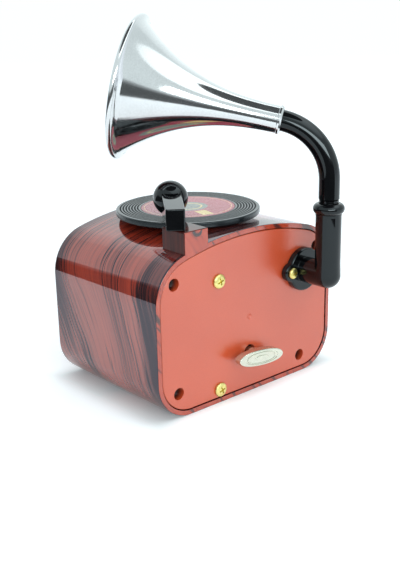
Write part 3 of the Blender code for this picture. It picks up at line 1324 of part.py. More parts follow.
def worm():
    """Shaft with a single right-handed thread; a gap of the thread faces the worm wheel's first tooth."""
    lead = math.pi * WORM_MODULE
    back = BEDPLATE_FRONT_Y - 2 * FACE_GAP
    bm = bmesh.new()
    start = GOVERNOR_FRONT_Y - FACE_GAP
    add_cylinder(bm, "Y", (WORM_X, start, WORM_Z), WORM_SHAFT_RADIUS, back - start, 12)
    shaft = add_object("worm", bm, steel())
    root = WORM_RADIUS - TOOTH_DEDENDUM * WORM_MODULE
    core = bmesh.new()
    half_length = lead * WORM_TURNS / 2 + WORM_CORE_MARGIN
    first_turn = (WORM_TURNS - 1) // 2 + 0.5
    add_cylinder(core, "Y", (WORM_X, CYLINDER_Y - half_length, WORM_Z), root, 2 * half_length, 14)
    join(shaft, add_object("worm_core", core, None, cutter=True))

    tip = WORM_RADIUS + TOOTH_ADDENDUM * WORM_MODULE
    half = TOOTH_FILL * lead / 2
    half_tip = half - TOOTH_ADDENDUM * WORM_MODULE * TOOTH_SLOPE
    inner = root - THREAD_SINK
    half_inner = half + (WORM_RADIUS - inner) * TOOTH_SLOPE
    steps = 12 * WORM_TURNS
    thread = bmesh.new()
    rings = []
    for i in range(steps + 1):
        turn = 2 * math.pi * WORM_TURNS * i / steps - math.pi / 2
        y = CYLINDER_Y + lead * (WORM_TURNS * i / steps - first_turn)
        ring = []
        for r, dy in ((inner, -half_inner), (tip, -half_tip), (tip, half_tip), (inner, half_inner)):
            ring.append(thread.verts.new((WORM_X + r * math.sin(turn), y + dy, WORM_Z + r * math.cos(turn))))
        rings.append(ring)
    for a, b in zip(rings, rings[1:]):
        for k in range(4):
            n = (k + 1) % 4
            thread.faces.new((a[k], a[n], b[n], b[k]))
    thread.faces.new(rings[0])
    thread.faces.new(list(reversed(rings[-1])))
    join(shaft, add_object("worm_thread", thread, None, cutter=True))

    fan_y = CYLINDER_Y - half_length - FAN_WIDTH - 2 * FACE_GAP
    bm = bmesh.new()
    add_cylinder(bm, "Y", (WORM_X, fan_y, WORM_Z), FAN_HUB_RADIUS, FAN_WIDTH, 14)
    fan = add_object("air_brake_fan", bm, nylon())
    blades = box_cutter(
        "fan_blades", (WORM_X - FAN_RADIUS, fan_y + FAN_MARGIN, WORM_Z - FAN_BLADE / 2),
        (WORM_X + FAN_RADIUS, fan_y + FAN_WIDTH - FAN_MARGIN, WORM_Z + FAN_BLADE / 2),
    )
    join(fan, blades)
    cut(fan, cylinder_cutter(
        "fan_bore", "Y", (WORM_X, fan_y - FAN_WIDTH, WORM_Z), WORM_SHAFT_RADIUS + RUN_GAP / 2,
        3 * FAN_WIDTH, 12,
    ))


def main():
    clear_scene()
    make_collections()
    case_shell()
    back_cover()
    case_screws()
    movement_mounting()
    horn_elbow()
    turntable()
    tone_arm()
    horn_neck()
    horn_bell()
    winding_key()
    click_spring()
    spring_barrel()
    mainspring()
    barrel_bridge()
    bedplate()
    bearings()
    cylinder_train()
    comb()
    small_screws()
    governor()
    worm()


main()
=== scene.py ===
"""Looks of the gramophone music box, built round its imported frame. Sizes are in metres."""
import json
from math import acos, copysign, cos, degrees, hypot, pi, radians, sin, sqrt

import bmesh
import bpy
from mathutils import Matrix, Vector

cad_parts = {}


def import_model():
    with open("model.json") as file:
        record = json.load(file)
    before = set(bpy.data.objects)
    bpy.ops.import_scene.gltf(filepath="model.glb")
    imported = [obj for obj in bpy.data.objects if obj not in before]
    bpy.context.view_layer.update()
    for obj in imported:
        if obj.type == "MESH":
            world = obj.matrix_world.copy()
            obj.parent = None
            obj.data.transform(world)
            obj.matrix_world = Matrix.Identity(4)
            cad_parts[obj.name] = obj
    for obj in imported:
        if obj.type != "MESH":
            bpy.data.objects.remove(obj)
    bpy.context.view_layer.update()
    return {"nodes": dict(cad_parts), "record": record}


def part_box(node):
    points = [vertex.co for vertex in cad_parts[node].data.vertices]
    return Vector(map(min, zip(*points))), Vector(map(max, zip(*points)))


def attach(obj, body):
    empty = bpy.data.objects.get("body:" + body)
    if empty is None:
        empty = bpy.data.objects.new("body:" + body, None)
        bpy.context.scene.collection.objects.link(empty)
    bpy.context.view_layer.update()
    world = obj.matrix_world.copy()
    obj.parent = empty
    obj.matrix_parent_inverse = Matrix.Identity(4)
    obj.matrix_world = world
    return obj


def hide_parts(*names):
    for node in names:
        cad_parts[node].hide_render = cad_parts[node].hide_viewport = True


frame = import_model()

# Case
HALF_WIDTH = 0.0526
CASE_HEIGHT = 0.0758
BACK_Y = 0.03755
FRONT_Y = -0.03755
CASE_WALL = 0.0022
FRONT_WALL = 0.0024
BOTTOM_RADIUS = 0.0178
SHOULDER_RADIUS = 0.0206
ARCH_RADIUS = 0.1400
FRONT_ROUND = 0.0016
RIM_ROUND = 0.00045
POST_RADIUS = 0.0036
PEDESTAL_LOW = (0.0237, 0.02305, 0.0655)
PEDESTAL_HIGH = (0.0367, 0.03755, 0.0804)
PEDESTAL_ROUND = 0.00055
PEDESTAL_EDGE = 0.0010
SHOULDER_DROP = 0.0030
BUSH_HOLE_RADIUS = 0.0044
BUSH_HOLE_DEPTH = 0.006
PIN_HOLE_RADIUS = 0.0018
PIN_HOLE_DEPTH = 0.005

# Eased mouth of the case, as (change of wall, step from the back face)
CASE_MOUTH = ((-0.0003, 0.0010), (-0.0003, 0.0), (-0.0001, -0.0001), (0.0, -0.0003))

# Back cover
COVER_OUTER_Y = 0.03725
COVER_THICKNESS = 0.0025
COVER_GAP = 0.0003
COVER_ROUND = 0.0005
WELLS = ((0.0426, 0.0596), (-0.0426, 0.0596), (0.0415, 0.0111), (-0.0326, 0.0082))
WELL_RADIUS = 0.00265
WELL_WALL = 0.0011
WELL_DEPTH = 0.0090
WELL_FLOOR = 0.0012
MOVEMENT_SCREWS = ((0.0182, 0.0062), (0.0182, 0.0559))
CASE_SCREW_HOLE = 0.0013
CASE_SCREW_DEPTH = 0.008
KEY_HOLE_RADIUS = 0.0033
SCREW_HOLE = 0.0016
DIMPLE_RADIUS = 0.0011
DIMPLE_DEPTH = 0.0005
DIMPLE_Z = 0.0355
HOLE_ROUND = 0.00030

# Cutters reach this far past the face that they open
PAST = 0.001

# Screws, as (head radius, head height, shank radius); shares are of the head's sizes
COVER_SCREW = (0.0032, 0.0015, 0.0014)
EAR_SCREW = (0.0025, 0.0015, 0.0014)
WELL_SCREW = (0.0022, 0.0015, 0.0011)
SCREW_POINT = 0.0008
HEAD_EDGE = 0.28
HEAD_DOME = 0.75
CROSS_TURN = 18.0
CROSS_REACH = 0.56
CROSS_HALF = 0.115
CROSS_FLOOR = 0.35
CROSS_WIDE = 1.05
CROSS_NARROW = 0.72

# Horn elbow
ELBOW_X = -0.0328
ELBOW_Y = 0.0533
ELBOW_Z = 0.0510
ELBOW_GAP = 0.0003
ELBOW_TUBE_RADIUS = 0.0059
ELBOW_CORNER_RADIUS = 0.00592
TUBE_FLARE = 0.0002
SOCKET_RADIUS = 0.0057
SOCKET_TOP = 0.0790
SOCKET_BOTTOM = 0.0610
SOCKET_BORE = 0.0043
COLLAR_RADIUS = 0.00698
COLLAR_HEIGHT = 0.0050
FLANGE_RADIUS = 0.01005
FLANGE_THICKNESS = 0.0030
FLANGE_ROUND = 0.0010
FLANGE_EASE = 0.0002
FLANGE_SIDES = 96
EAR_OFFSET = 0.0090
EAR_RADIUS = 0.0040
EAR_BLEND = 24
EARS = ((ELBOW_X - EAR_OFFSET, ELBOW_Z), (ELBOW_X + EAR_OFFSET, ELBOW_Z))

# Horn
NECK_RADIUS = 0.0046
PLUG_RADIUS = 0.0041
NECK_BORE = 0.0030
NECK_BOTTOM = 0.0613
NECK_BEADS = (0.0842, 0.0850)
NECK_FOOT = 0.0856
NECK_STRAIGHT_Z = 0.0900
NECK_BEND_Z = 0.0940
NECK_BEND_RADIUS = 0.0260
NECK_BEND_STEPS = 32
NECK_EASE = 0.0003
NECK_SIDES = 56
HORN_HEADING = 38.0
HORN_TILT = 12.0
BELL_LENGTH = 0.0680
BELL_RADIUS = 0.0319
BELL_WALL = 0.0012
BELL_LIP = 0.0013
BELL_SLEEVE = 0.0050
BELL_FLARE = 2.6
BELL_GAP = 0.0002
BELL_STEPS = 44
BELL_SIDES = 128

# Bead at the bell's small end, as (step out, height)
BELL_BEAD = ((-0.0004, 0.0), (0.0, 0.0004), (0.0004, 0.0007), (0.0004, 0.0015), (0.0, 0.0018))

# Record and label; a groove's shape is (share of the pitch, share of the depth)
RECORD_Y = -0.0030
RECORD_TOP = 0.0790
RECORD_RADIUS = 0.0330
RECORD_THICKNESS = 0.0027
RECORD_EDGE = 0.0006
RECORD_BORE = 0.0022
RECORD_HUB_RADIUS = 0.0058
RECORD_HUB_Z = 0.0775
LABEL_RADIUS = 0.0215
LABEL_THICKNESS = 0.00025
LABEL_EASE = 0.00008
LABEL_BAR_ANGLE = 78.0
LABEL_BAR_REACH = (0.0108, 0.0192)
LABEL_BAR_HALF = 0.0027
GROOVES = 7
GROOVE_DEPTH = 0.00016
GROOVE_SHAPE = ((0.0, 0.0), (0.10, 0.35), (0.20, 0.85), (0.28, 1.0), (0.36, 0.85), (0.46, 0.35), (0.56, 0.0))
GROOVE_FIRST = LABEL_RADIUS + 0.0012
GROOVE_PITCH = (RECORD_RADIUS - 0.0011 - GROOVE_FIRST) / GROOVES

# Tone arm; the stylus is (radius, height above its tip)
ARM_PIVOT = (0.0334, 0.0276)
ARM_ANGLE = 234.0
ARM_REAR = 0.0080
ARM_REACH = 0.0238
ARM_HALF = 0.0040
ARM_FLARE = 1.05
ARM_REAR_Z = (0.0807, 0.0896)
ARM_FRONT_Z = (0.0810, 0.0912)
ARM_REAR_ROUND = 0.0011
ARM_DRAFT = 0.0004
ARM_EDGE_ROUND = 0.00045
BALL_RADIUS = 0.00765
BALL_Z = 0.0876
ARM_BORE_RADIUS = 0.0018
ARM_BORE_BOTTOM = 0.070
ARM_BORE_TOP = 0.0869
STYLUS_TIP_Z = RECORD_TOP + 0.0003
STYLUS = ((0.0, 0.0), (0.00045, 0.0002), (0.0006, 0.0011), (0.0009, 0.0013), (0.0009, 0.0022), (0.0, 0.0022))

# Winding key; its channel is (share of the outline, depth) from the rim inwards
KEY_Z = 0.0189
KEY_HALF_LENGTH = 0.0134
KEY_HALF_HEIGHT = 0.0037
KEY_DROOP = 0.0006
KEY_END_HALF = 0.0016
KEY_END_POWER = 9
KEY_END_ROOT = 2.4
KEY_FACE_Y = 0.04525
KEY_PLATE = 0.0012
KEY_SKIRT = 0.0024
KEY_SKIRT_WALL = 0.0007
KEY_TILT = 6.5
KEY_ROUND = 0.0006
KEY_CENTRE = 0.02
KEY_CHANNEL = (
    (0.76, 0.0), (0.74, 0.00030), (0.70, 0.00034), (0.675, 0.00030), (0.66, 0.0), (0.62, 0.0),
    (0.605, 0.00026), (0.58, 0.00032), (0.30, 0.00032), (0.27, 0.0), (KEY_CENTRE, 0.0),
)
KEY_HUB_RADIUS = 0.0023
KEY_HUB_START = 0.03445
KEY_HUB_BORE = 0.0015
KEY_HUB_BORE_DEPTH = 0.0065
KEY_HUB_FILLET = 0.0004

# Wood print; a grain is (stretch along streaks, streaks in a metre, offset),
# and a slope is (start, end, before, after)
BOLD_GRAIN = (9.0, 250.0, 0.0)
BOLD_WIDTH = 0.050
BOLD_WEIGHT = -0.38
BREAK_GRAIN = (14.0, 120.0, 7.0)
BREAK_SLOPE = (0.35, 0.60, 0.15, 1.0)
FINE_GRAIN = (11.0, 700.0, 3.0)
FINE_WIDTH = 0.090
FINE_WEIGHT = -0.21
TONE_GRAIN = (5.0, 75.0, 5.0)
TONE_WEIGHT = 0.78
TONE_LEVEL = 0.70
CLOUD_GRAIN = (20.0, 90.0, 9.0)
PRINT_WAVE = 0.007
PRINT_BEND_Z = 0.058
PRINT_BEND_SOFT = 0.016
PRINT_LEAN = (-0.005, 0.032, -0.56, -0.32)
PRINT_FRONT_LEAN = 0.16
# Slopes of the sides' darkening towards the back rim, and of the painted shade towards their front edge with
# its fade near the foot
BACK_RIM_DARKENING = (0.020, 0.032, 0.0, 0.36)
FRONT_PAINTED_SHADE = (-0.038, -0.024, 0.30, 0.0)
FRONT_SHADE_FOOT = (0.006, 0.034, 0.45, 1.0)
KNOT = (0.0295, 0.0, 0.0803)
KNOT_RADIUS = 0.0021
KNOT_WIDTH = 0.0010

# Painted shade: the cover's colour fades to near-black between these Y places in the wells
WELL_SHADE_REACH = (0.0325, 0.0366)

# Dark surround seen in reflections; its edge is (azimuth in degrees, height),
# and its lower and upper shades are (before the step, gain over it)
CARD_RADIUS = 0.36
CARD_START = -75.0
CARD_SWEEP = 180.0
CARD_STEPS = 120
CARD_EDGE = ((-80, 0.002), (-66, 0.002), (-52.7, 0.108), (-50.3, 0.1205), (-48.2, 0.133), (-45.7, 0.150),
             (-43.3, 0.180), (-25, 0.172), (10, 0.140), (106, 0.140))
CARD_SOFT = 0.035
CARD_STEP = -52.5
CARD_STEP_WIDTH = 5.0
CARD_SHADES = ((0.03, 0.10), (0.12, 0.48))
DISC_PLACE = (0.03, 0.06, 0.62)
DISC_RADIUS = 0.30
DISC_SHADE = 0.10

# Floor: slopes of its glow over the distance from the middle, and of its painted contact shadow over the
# distance from the case
FLOOR_SIZE = 30.0
FLOOR_GLOW = (0.08, 1.2, 0.33, 0.70)
FLOOR_PAINTED_SHADOW = (-0.002, 0.008, 0.25, 1.0)
FLOOR_SHADOW_CORNER = 0.004

# Camera, solved from the photograph
CAMERA_PLACE = (0.26574, 0.31019, 0.17153)
CAMERA_YAW = 40.98
CAMERA_PITCH = 17.64
CAMERA_ROLL = -1.23
CAMERA_LENS = 57.70


# Mesh tools

def arc(centre, radius, start, end, steps):
    """Points on a circle from one angle to another, in degrees."""
    points = []
    for i in range(steps + 1):
        turn = radians(start + (end - start) * i / steps)
        points.append((centre[0] + radius * cos(turn), centre[1] + radius * sin(turn)))
    return points


def quarter(radius, steps):
    """Pairs of (inset, drop) along a rounded edge, from its side to its face."""
    turns = [radians(90 * i / steps) for i in range(steps + 1)]
    return [(radius * (1 - cos(turn)), radius * (1 - sin(turn))) for turn in turns]


def skin(bm, rows, closed):
    """Faces between rows of as many points each; a pole is a row of one point repeated."""
    pairs = list(zip(rows, rows[1:]))
    if closed:
        pairs.append((rows[-1], rows[0]))
    for low, high in pairs:
        for i in range(len(low)):
            j = (i + 1) % len(low)
            corners = list(dict.fromkeys((low[i], low[j], high[j], high[i])))
            if len(corners) > 2:
                bm.faces.new(corners)


def add_rings(bm, rings, closed=False):
    """Skin over rings of points, with a flat cap at each end or closed into a loop."""
    rows = [[bm.verts.new(point) for point in ring] for ring in rings]
    skin(bm, rows, closed)
    if not closed:
        bm.faces.new(rows[0])
        bm.faces.new(rows[-1])


def add_turned(bm, profile, steps, place, closed=False):
    """Profile of (radius, height) turned about a frame's Z axis; a radius of 0 is a pole."""
    turns = [2 * pi * i / steps for i in range(steps)]
    rows = []
    for radius, height in profile:
        if radius < 1e-7:
            rows.append([bm.verts.new(place @ Vector((0, 0, height)))] * steps)
            continue
        ring = [Vector((radius * cos(turn), radius * sin(turn), height)) for turn in turns]
        rows.append([bm.verts.new(place @ spot) for spot in ring])
    skin(bm, rows, closed)


def add_rod(bm, radius, start, end, steps, place):
    """Plain round bar along a frame's Z axis, for posts and for cutters."""
    add_turned(bm, [(0.0, start), (radius, start), (radius, end), (0.0, end)], steps, place)


def add_rods(bm, spots, y, radius, length, steps):
    """Bars along Y that start at y, at points of (x, z)."""
    for x, z in spots:
        add_rod(bm, radius, 0.0, length, steps, along_y(x, y, z))


def along_y(x, y, z):
    """Frame at a point with its Z axis along +Y."""
    return Matrix.Translation((x, y, z)) @ Matrix.Rotation(radians(-90), 4, "X")


def add_object(name, data):
    made = bpy.data.objects.new(name, data)
    bpy.context.scene.collection.objects.link(made)
    return made


def make_object(name, bm, look=None, angle=30.0):
    bmesh.ops.recalc_face_normals(bm, faces=bm.faces)
    mesh = bpy.data.meshes.new(name)
    bm.to_mesh(mesh)
    bm.free()
    made = add_object(name, mesh)
    if look:
        mesh.materials.append(look)
    mesh.shade_smooth()
    mesh.set_sharp_from_angle(angle=radians(angle))
    return made


def combine(target, name, bm, operation, angle=30.0):
    """Joins a shape to the target or cuts it out."""
    tool = make_object(name, bm)
    step = target.modifiers.new("combine", "BOOLEAN")
    step.operation = operation
    step.object = tool
    step.solver = "EXACT"
    graph = bpy.context.evaluated_depsgraph_get()
    mesh = bpy.data.meshes.new_from_object(target.evaluated_get(graph))
    target.modifiers.clear()
    old = target.data
    target.data = mesh
    bpy.data.meshes.remove(old)
    bpy.data.objects.remove(tool, do_unlink=True)
    mesh.shade_smooth()
    mesh.set_sharp_from_angle(angle=radians(angle))


def place_piece(piece, body, slot, *nodes):
    """Rides the piece on its body and lets it stand for its CAD nodes."""
    piece.modifiers.new("flat_faces", "WEIGHTED_NORMAL").keep_sharp = True
    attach(piece, body)
    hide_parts(*nodes)


# Node tools

def put(node, values):
    """Sets or links a node's inputs by name or number."""
    for name, value in values.items():
        socket = node.inputs[name]
        if isinstance(value, bpy.types.NodeSocket):
            node.id_data.links.new(value, socket)
        else:
            socket.default_value = value


def add(tree, kind, values=None, **settings):
    node = tree.nodes.new("ShaderNode" + kind)
    for name, value in settings.items():
        setattr(node, name, value)
    put(node, values or {})
    return node


def sums(tree, operation, *values):
    """Math node; gives its result."""
    return add(tree, "Math", dict(enumerate(values)), operation=operation).outputs[0]


def ramp(tree, factor, stops, blend="LINEAR"):
    """Colour ramp with stops of (position, colour)."""
    node = add(tree, "ValToRGB", {"Fac": factor})
    scale = node.color_ramp
    scale.interpolation = blend
    while len(scale.elements) < len(stops):
        scale.elements.new(1.0)
    for element, (position, colour) in zip(scale.elements, stops):
        element.position = position
        element.color = (*colour, 1.0)
    return node.outputs["Color"]


def spread(tree, value, low, high):
    """A value from 0 to 1 laid over another range."""
    return add(tree, "MapRange", {"Value": value, "To Min": low, "To Max": high}).outputs["Result"]


def sloped(tree, value, start, end, low, high):
    """Low before start, high after end and a soft step between."""
    values = {"Value": value, "From Min": start, "From Max": end, "To Min": low, "To Max": high}
    return add(tree, "MapRange", values, interpolation_type="SMOOTHSTEP").outputs["Result"]


def mixed(tree, share, first, second):
    """Colour between two, by a share from 0 to 1."""
    return add(tree, "MixRGB", {"Fac": share, "Color1": first, "Color2": second}).outputs["Color"]


def noise(tree, vector, scale, detail=2.0):
    return add(tree, "TexNoise", {"Vector": vector, "Scale": scale, "Detail": detail}).outputs[0]


def stretched(tree, place, scale):
    return add(tree, "Mapping", {"Vector": place, "Scale": scale}).outputs["Vector"]


def new_look(name, metallic=0.0, ior=1.5):
    made = bpy.data.materials.new(name)
    made.use_nodes = True
    tree = made.node_tree
    shader = tree.nodes["Principled BSDF"]
    put(shader, {"Metallic": metallic, "IOR": ior})
    place = add(tree, "TexCoord").outputs["Object"]
    return made, tree, shader, place


def add_bump(tree, shader, height, distance):
    values = {"Height": height, "Strength": 1.0, "Distance": distance}
    put(shader, {"Normal": add(tree, "Bump", values).outputs["Normal"]})


def grained_look(name, dark, light, rough, metallic=0.0, grain=(1500, 1500, 1500), depth=0.000004):
    """Finish whose colour and roughness vary over a fine grain, with a faint bump."""
    made, tree, shader, place = new_look(name, metallic)
    fine = noise(tree, stretched(tree, place, grain), 1.0, 3.0)
    cloud = noise(tree, place, 60.0)
    both = sums(tree, "ADD", sums(tree, "MULTIPLY", fine, 0.5), sums(tree, "MULTIPLY", cloud, 0.5))
    colour = ramp(tree, both, [(0.35, dark), (0.65, light)])
    put(shader, {"Base Color": colour, "Roughness": spread(tree, both, *rough)})
    add_bump(tree, shader, fine, depth)
    return made


# Looks

def front_shade_and_dark_rim(tree, axes, shift, cloud):
    """Darkening towards the back rim, and painted shade towards the front edge of the case's sides, with
    less near the foot.
    """
    back = sloped(tree, sums(tree, "MULTIPLY_ADD", shift, 0.10, axes["Y"]), *BACK_RIM_DARKENING)
    front = sloped(tree, sums(tree, "MULTIPLY_ADD", shift, 0.25, axes["Y"]), *FRONT_PAINTED_SHADE)
    front = sums(tree, "MULTIPLY", front, sloped(tree, axes["Z"], *FRONT_SHADE_FOOT))
    uneven = sums(tree, "MULTIPLY_ADD", cloud, 0.9, 0.55)
    return sums(tree, "MULTIPLY", sums(tree, "ADD", back, front), uneven)


def wood_look(name, front=False):
    """Gloss lacquer over a print of dark streaks that wrap over the top and slant down the sides.

    On the front the streaks run upright, and no edge is darker: the sides' back-rim darkening and front-edge
    painted shade are left out.
    """
    made, tree, shader, place = new_look(name, ior=2.0)
    axes = add(tree, "SeparateXYZ", {"Vector": place}).outputs
    if front:
        level = axes["Y"]
        slant = sums(tree, "MULTIPLY_ADD", axes["Z"], PRINT_FRONT_LEAN, axes["X"])
    else:
        level = axes["X"]
        below = sums(tree, "SUBTRACT", PRINT_BEND_Z, axes["Z"])
        below = sums(tree, "SMOOTH_MAX", below, 0.0, PRINT_BEND_SOFT)
        shift = sums(tree, "MULTIPLY", below, sloped(tree, axes["Y"], *PRINT_LEAN))
        slant = sums(tree, "ADD", shift, axes["Y"])
    across = sums(tree, "MULTIPLY_ADD", noise(tree, place, 30.0, 1.0), PRINT_WAVE, slant)

    def grain(along, pitch, offset):
        """Noise drawn out along the streaks."""
        drawn = add(tree, "CombineXYZ", {
            "X": sums(tree, "MULTIPLY", level, along), "Y": sums(tree, "MULTIPLY", across, pitch),
            "Z": sums(tree, "MULTIPLY_ADD", axes["Z"], along, offset),
        }).outputs["Vector"]
        return noise(tree, drawn, 1.0, 1.0)

    def thin_lines(value, width):
        away = sums(tree, "ABSOLUTE", sums(tree, "SUBTRACT", value, 0.5))
        return sloped(tree, away, 0.0, width, 1.0, 0.0)

    breaks = sloped(tree, grain(*BREAK_GRAIN), *BREAK_SLOPE)
    bold = sums(tree, "MULTIPLY", thin_lines(grain(*BOLD_GRAIN), BOLD_WIDTH), breaks)
    fine = thin_lines(grain(*FINE_GRAIN), FINE_WIDTH)
    tone = sums(tree, "SUBTRACT", grain(*TONE_GRAIN), 0.5)
    value = sums(tree, "MULTIPLY_ADD", tone, TONE_WEIGHT, TONE_LEVEL)
    value = sums(tree, "MULTIPLY_ADD", bold, BOLD_WEIGHT, value)
    value = sums(tree, "MULTIPLY_ADD", fine, FINE_WEIGHT, value)
    if not front:
        # Darker towards the back rim, and painted shade towards the front edge of the sides
        value = sums(tree, "SUBTRACT", value, front_shade_and_dark_rim(tree, axes, shift, grain(*CLOUD_GRAIN)))
    colour = ramp(tree, value, [
        (0.05, (0.012, 0.006, 0.008)), (0.25, (0.042, 0.012, 0.012)), (0.42, (0.14, 0.020, 0.014)),
        (0.60, (0.30, 0.034, 0.018)), (0.85, (0.42, 0.047, 0.021)),
    ])
    rough = spread(tree, noise(tree, place, 90.0, 3.0), 0.035, 0.075)
    tint = ramp(tree, value, [(0.20, (0.44, 0.40, 0.50)), (0.62, (1.0, 0.98, 1.0))])
    put(shader, {"Base Color": colour, "Roughness": rough, "Specular Tint": tint})
    add_bump(tree, shader, noise(tree, place, 140.0, 1.0), 0.000004)
    return made


def post_shade_look():
    """Painted shade on the post that carries the arm: a near-black, streaked copy of the wood."""
    made, tree, shader, place = new_look("post_painted_shade", ior=1.28)
    streaks = noise(tree, stretched(tree, place, (260.0, 260.0, 20.0)), 1.0)
    colour = ramp(tree, streaks, [(0.35, (0.020, 0.007, 0.008)), (0.68, (0.115, 0.018, 0.013))])
    put(shader, {"Base Color": colour, "Roughness": spread(tree, streaks, 0.04, 0.08)})
    return made


def wood_end_look():
    """Print on the rim and the post's back: red with dark slanting bars and one knot."""
    made, tree, shader, place = new_look("wood_end", ior=1.8)
    axes = add(tree, "SeparateXYZ", {"Vector": place}).outputs
    slant = sums(tree, "MULTIPLY_ADD", axes["Z"], -0.75, axes["X"])
    across = sums(tree, "MULTIPLY_ADD", noise(tree, place, 60.0, 1.0), 0.012, slant)
    drawn = add(tree, "CombineXYZ", {
        "X": sums(tree, "MULTIPLY", across, 190.0), "Y": 2.0, "Z": sums(tree, "MULTIPLY", axes["Z"], 40.0),
    }).outputs["Vector"]
    bars = noise(tree, drawn, 1.0)
    flat = stretched(tree, place, (1.0, 0.0, 1.0))
    away = add(tree, "VectorMath", {0: flat, 1: KNOT}, operation="DISTANCE").outputs["Value"]
    ring = sums(tree, "ABSOLUTE", sums(tree, "SUBTRACT", away, KNOT_RADIUS))
    knot = sloped(tree, ring, 0.0, KNOT_WIDTH, 0.26, 0.0)
    colour = ramp(tree, sums(tree, "SUBTRACT", bars, knot), [
        (0.20, (0.030, 0.016, 0.018)), (0.40, (0.12, 0.028, 0.022)), (0.46, (0.42, 0.055, 0.028)),
        (0.70, (0.52, 0.075, 0.034)),
    ])
    put(shader, {"Base Color": colour, "Roughness": spread(tree, bars, 0.05, 0.10)})
    add_bump(tree, shader, noise(tree, place, 140.0, 1.0), 0.000004)
    return made


def terracotta_look():
    """Satin metallic paint with a fine flake, and painted shade that turns it near-black deep in the wells.
    """
    made, tree, shader, place = new_look("terracotta_paint", ior=2.0)
    flake = noise(tree, place, 4200.0, 1.0)
    cloud = noise(tree, place, 24.0)
    both = sums(tree, "MULTIPLY_ADD", flake, 0.35, sums(tree, "MULTIPLY", cloud, 0.65))
    paint = ramp(tree, both, [(0.35, (0.54, 0.066, 0.018)), (0.65, (0.62, 0.085, 0.025))])
    axes = add(tree, "SeparateXYZ", {"Vector": place}).outputs
    # Painted shade: the paint gives way to near-black deep in the wells
    reach = sloped(tree, axes["Y"], *WELL_SHADE_REACH, 0.0, 1.0)
    colour = mixed(tree, reach, (0.018, 0.006, 0.005, 1.0), paint)
    rub = noise(tree, stretched(tree, place, (900.0, 900.0, 70.0)), 1.0, 4.0)
    put(shader, {"Base Color": colour, "Roughness": spread(tree, rub, 0.26, 0.37)})
    add_bump(tree, shader, flake, 0.000006)
    return made


def black_look(name, rough):
    """Gloss black moulding with a faint flow in its surface."""
    made, tree, shader, place = new_look(name, ior=1.45)
    put(shader, {"Specular Tint": (0.86, 0.96, 1.0, 1.0)})
    flow = noise(tree, place, 180.0)
    colour = ramp(tree, flow, [(0.3, (0.0018, 0.0018, 0.0024)), (0.7, (0.0034, 0.0034, 0.0042))])
    put(shader, {"Base Color": colour, "Roughness": spread(tree, flow, *rough)})
    add_bump(tree, shader, flow, 0.000005)
    return made


def off_centre(tree, place):
    """Level vector from the record's centre, and its length."""
    flat = stretched(tree, place, (1.0, 1.0, 0.0))
    centre = (0.0, RECORD_Y, 0.0)
    offset = add(tree, "VectorMath", {0: flat, 1: centre}, operation="SUBTRACT").outputs["Vector"]
    return offset, add(tree, "VectorMath", {0: offset}, operation="LENGTH").outputs["Value"]


def record_look(name, rough, level):
    """Black vinyl whose fine bump runs round its centre; level is how strongly it reflects."""
    made, tree, shader, place = new_look(name, ior=1.45)
    put(shader, {"Specular Tint": (0.86, 0.96, 1.0, 1.0), "Specular IOR Level": level})
    away = off_centre(tree, place)[1]
    fine = add(tree, "CombineXYZ", {"X": sums(tree, "MULTIPLY", away, 9000.0)}).outputs["Vector"]
    rings = noise(tree, fine, 1.0, 1.0)
    broad = noise(tree, place, 70.0, 1.0)
    colour = ramp(tree, broad, [(0.3, (0.006, 0.009, 0.011)), (0.7, (0.010, 0.014, 0.017))])
    put(shader, {"Base Color": colour, "Roughness": spread(tree, rings, *rough)})
    add_bump(tree, shader, rings, 0.000004)
    return made


def label_look():
    """Plain printed label: a grey-green middle, two pale rings and one pale bar on mauve red."""
    made, tree, shader, place = new_look("label_print", ior=1.6)
    offset, away = off_centre(tree, place)
    pale = (0.80, 0.62, 0.22)
    red = (0.42, 0.050, 0.085)
    rim = (0.70, 0.36, 0.17)
    green = (0.22, 0.25, 0.22)
    rings = ramp(tree, sums(tree, "DIVIDE", away, LABEL_RADIUS), [
        (0.0, green), (0.27, pale), (0.305, green), (0.42, red), (0.92, rim), (0.94, red),
    ], "CONSTANT")
    axes = add(tree, "SeparateXYZ", {"Vector": offset}).outputs
    turn = radians(LABEL_BAR_ANGLE)
    along = sums(tree, "MULTIPLY_ADD", axes["Y"], sin(turn), sums(tree, "MULTIPLY", axes["X"], cos(turn)))
    side = sums(tree, "MULTIPLY_ADD", axes["Y"], cos(turn), sums(tree, "MULTIPLY", axes["X"], -sin(turn)))
    past = sums(tree, "GREATER_THAN", along, LABEL_BAR_REACH[0])
    inside = sums(tree, "MULTIPLY", past, sums(tree, "LESS_THAN", along, LABEL_BAR_REACH[1]))
    narrow = sums(tree, "LESS_THAN", sums(tree, "ABSOLUTE", side), LABEL_BAR_HALF)
    colour = mixed(tree, sums(tree, "MULTIPLY", inside, narrow), rings, (*pale, 1.0))
    paper = noise(tree, place, 2600.0, 3.0)
    put(shader, {"Base Color": colour, "Roughness": spread(tree, paper, 0.22, 0.34)})
    add_bump(tree, shader, paper, 0.000004)
    return made


WOOD = wood_look("wood_gloss")
WOOD_FRONT = wood_look("wood_front", front=True)
WOOD_END = wood_end_look()
POST_PAINTED_SHADE = post_shade_look()
TERRACOTTA = terracotta_look()
BLACK = black_look("gloss_black", (0.025, 0.055))
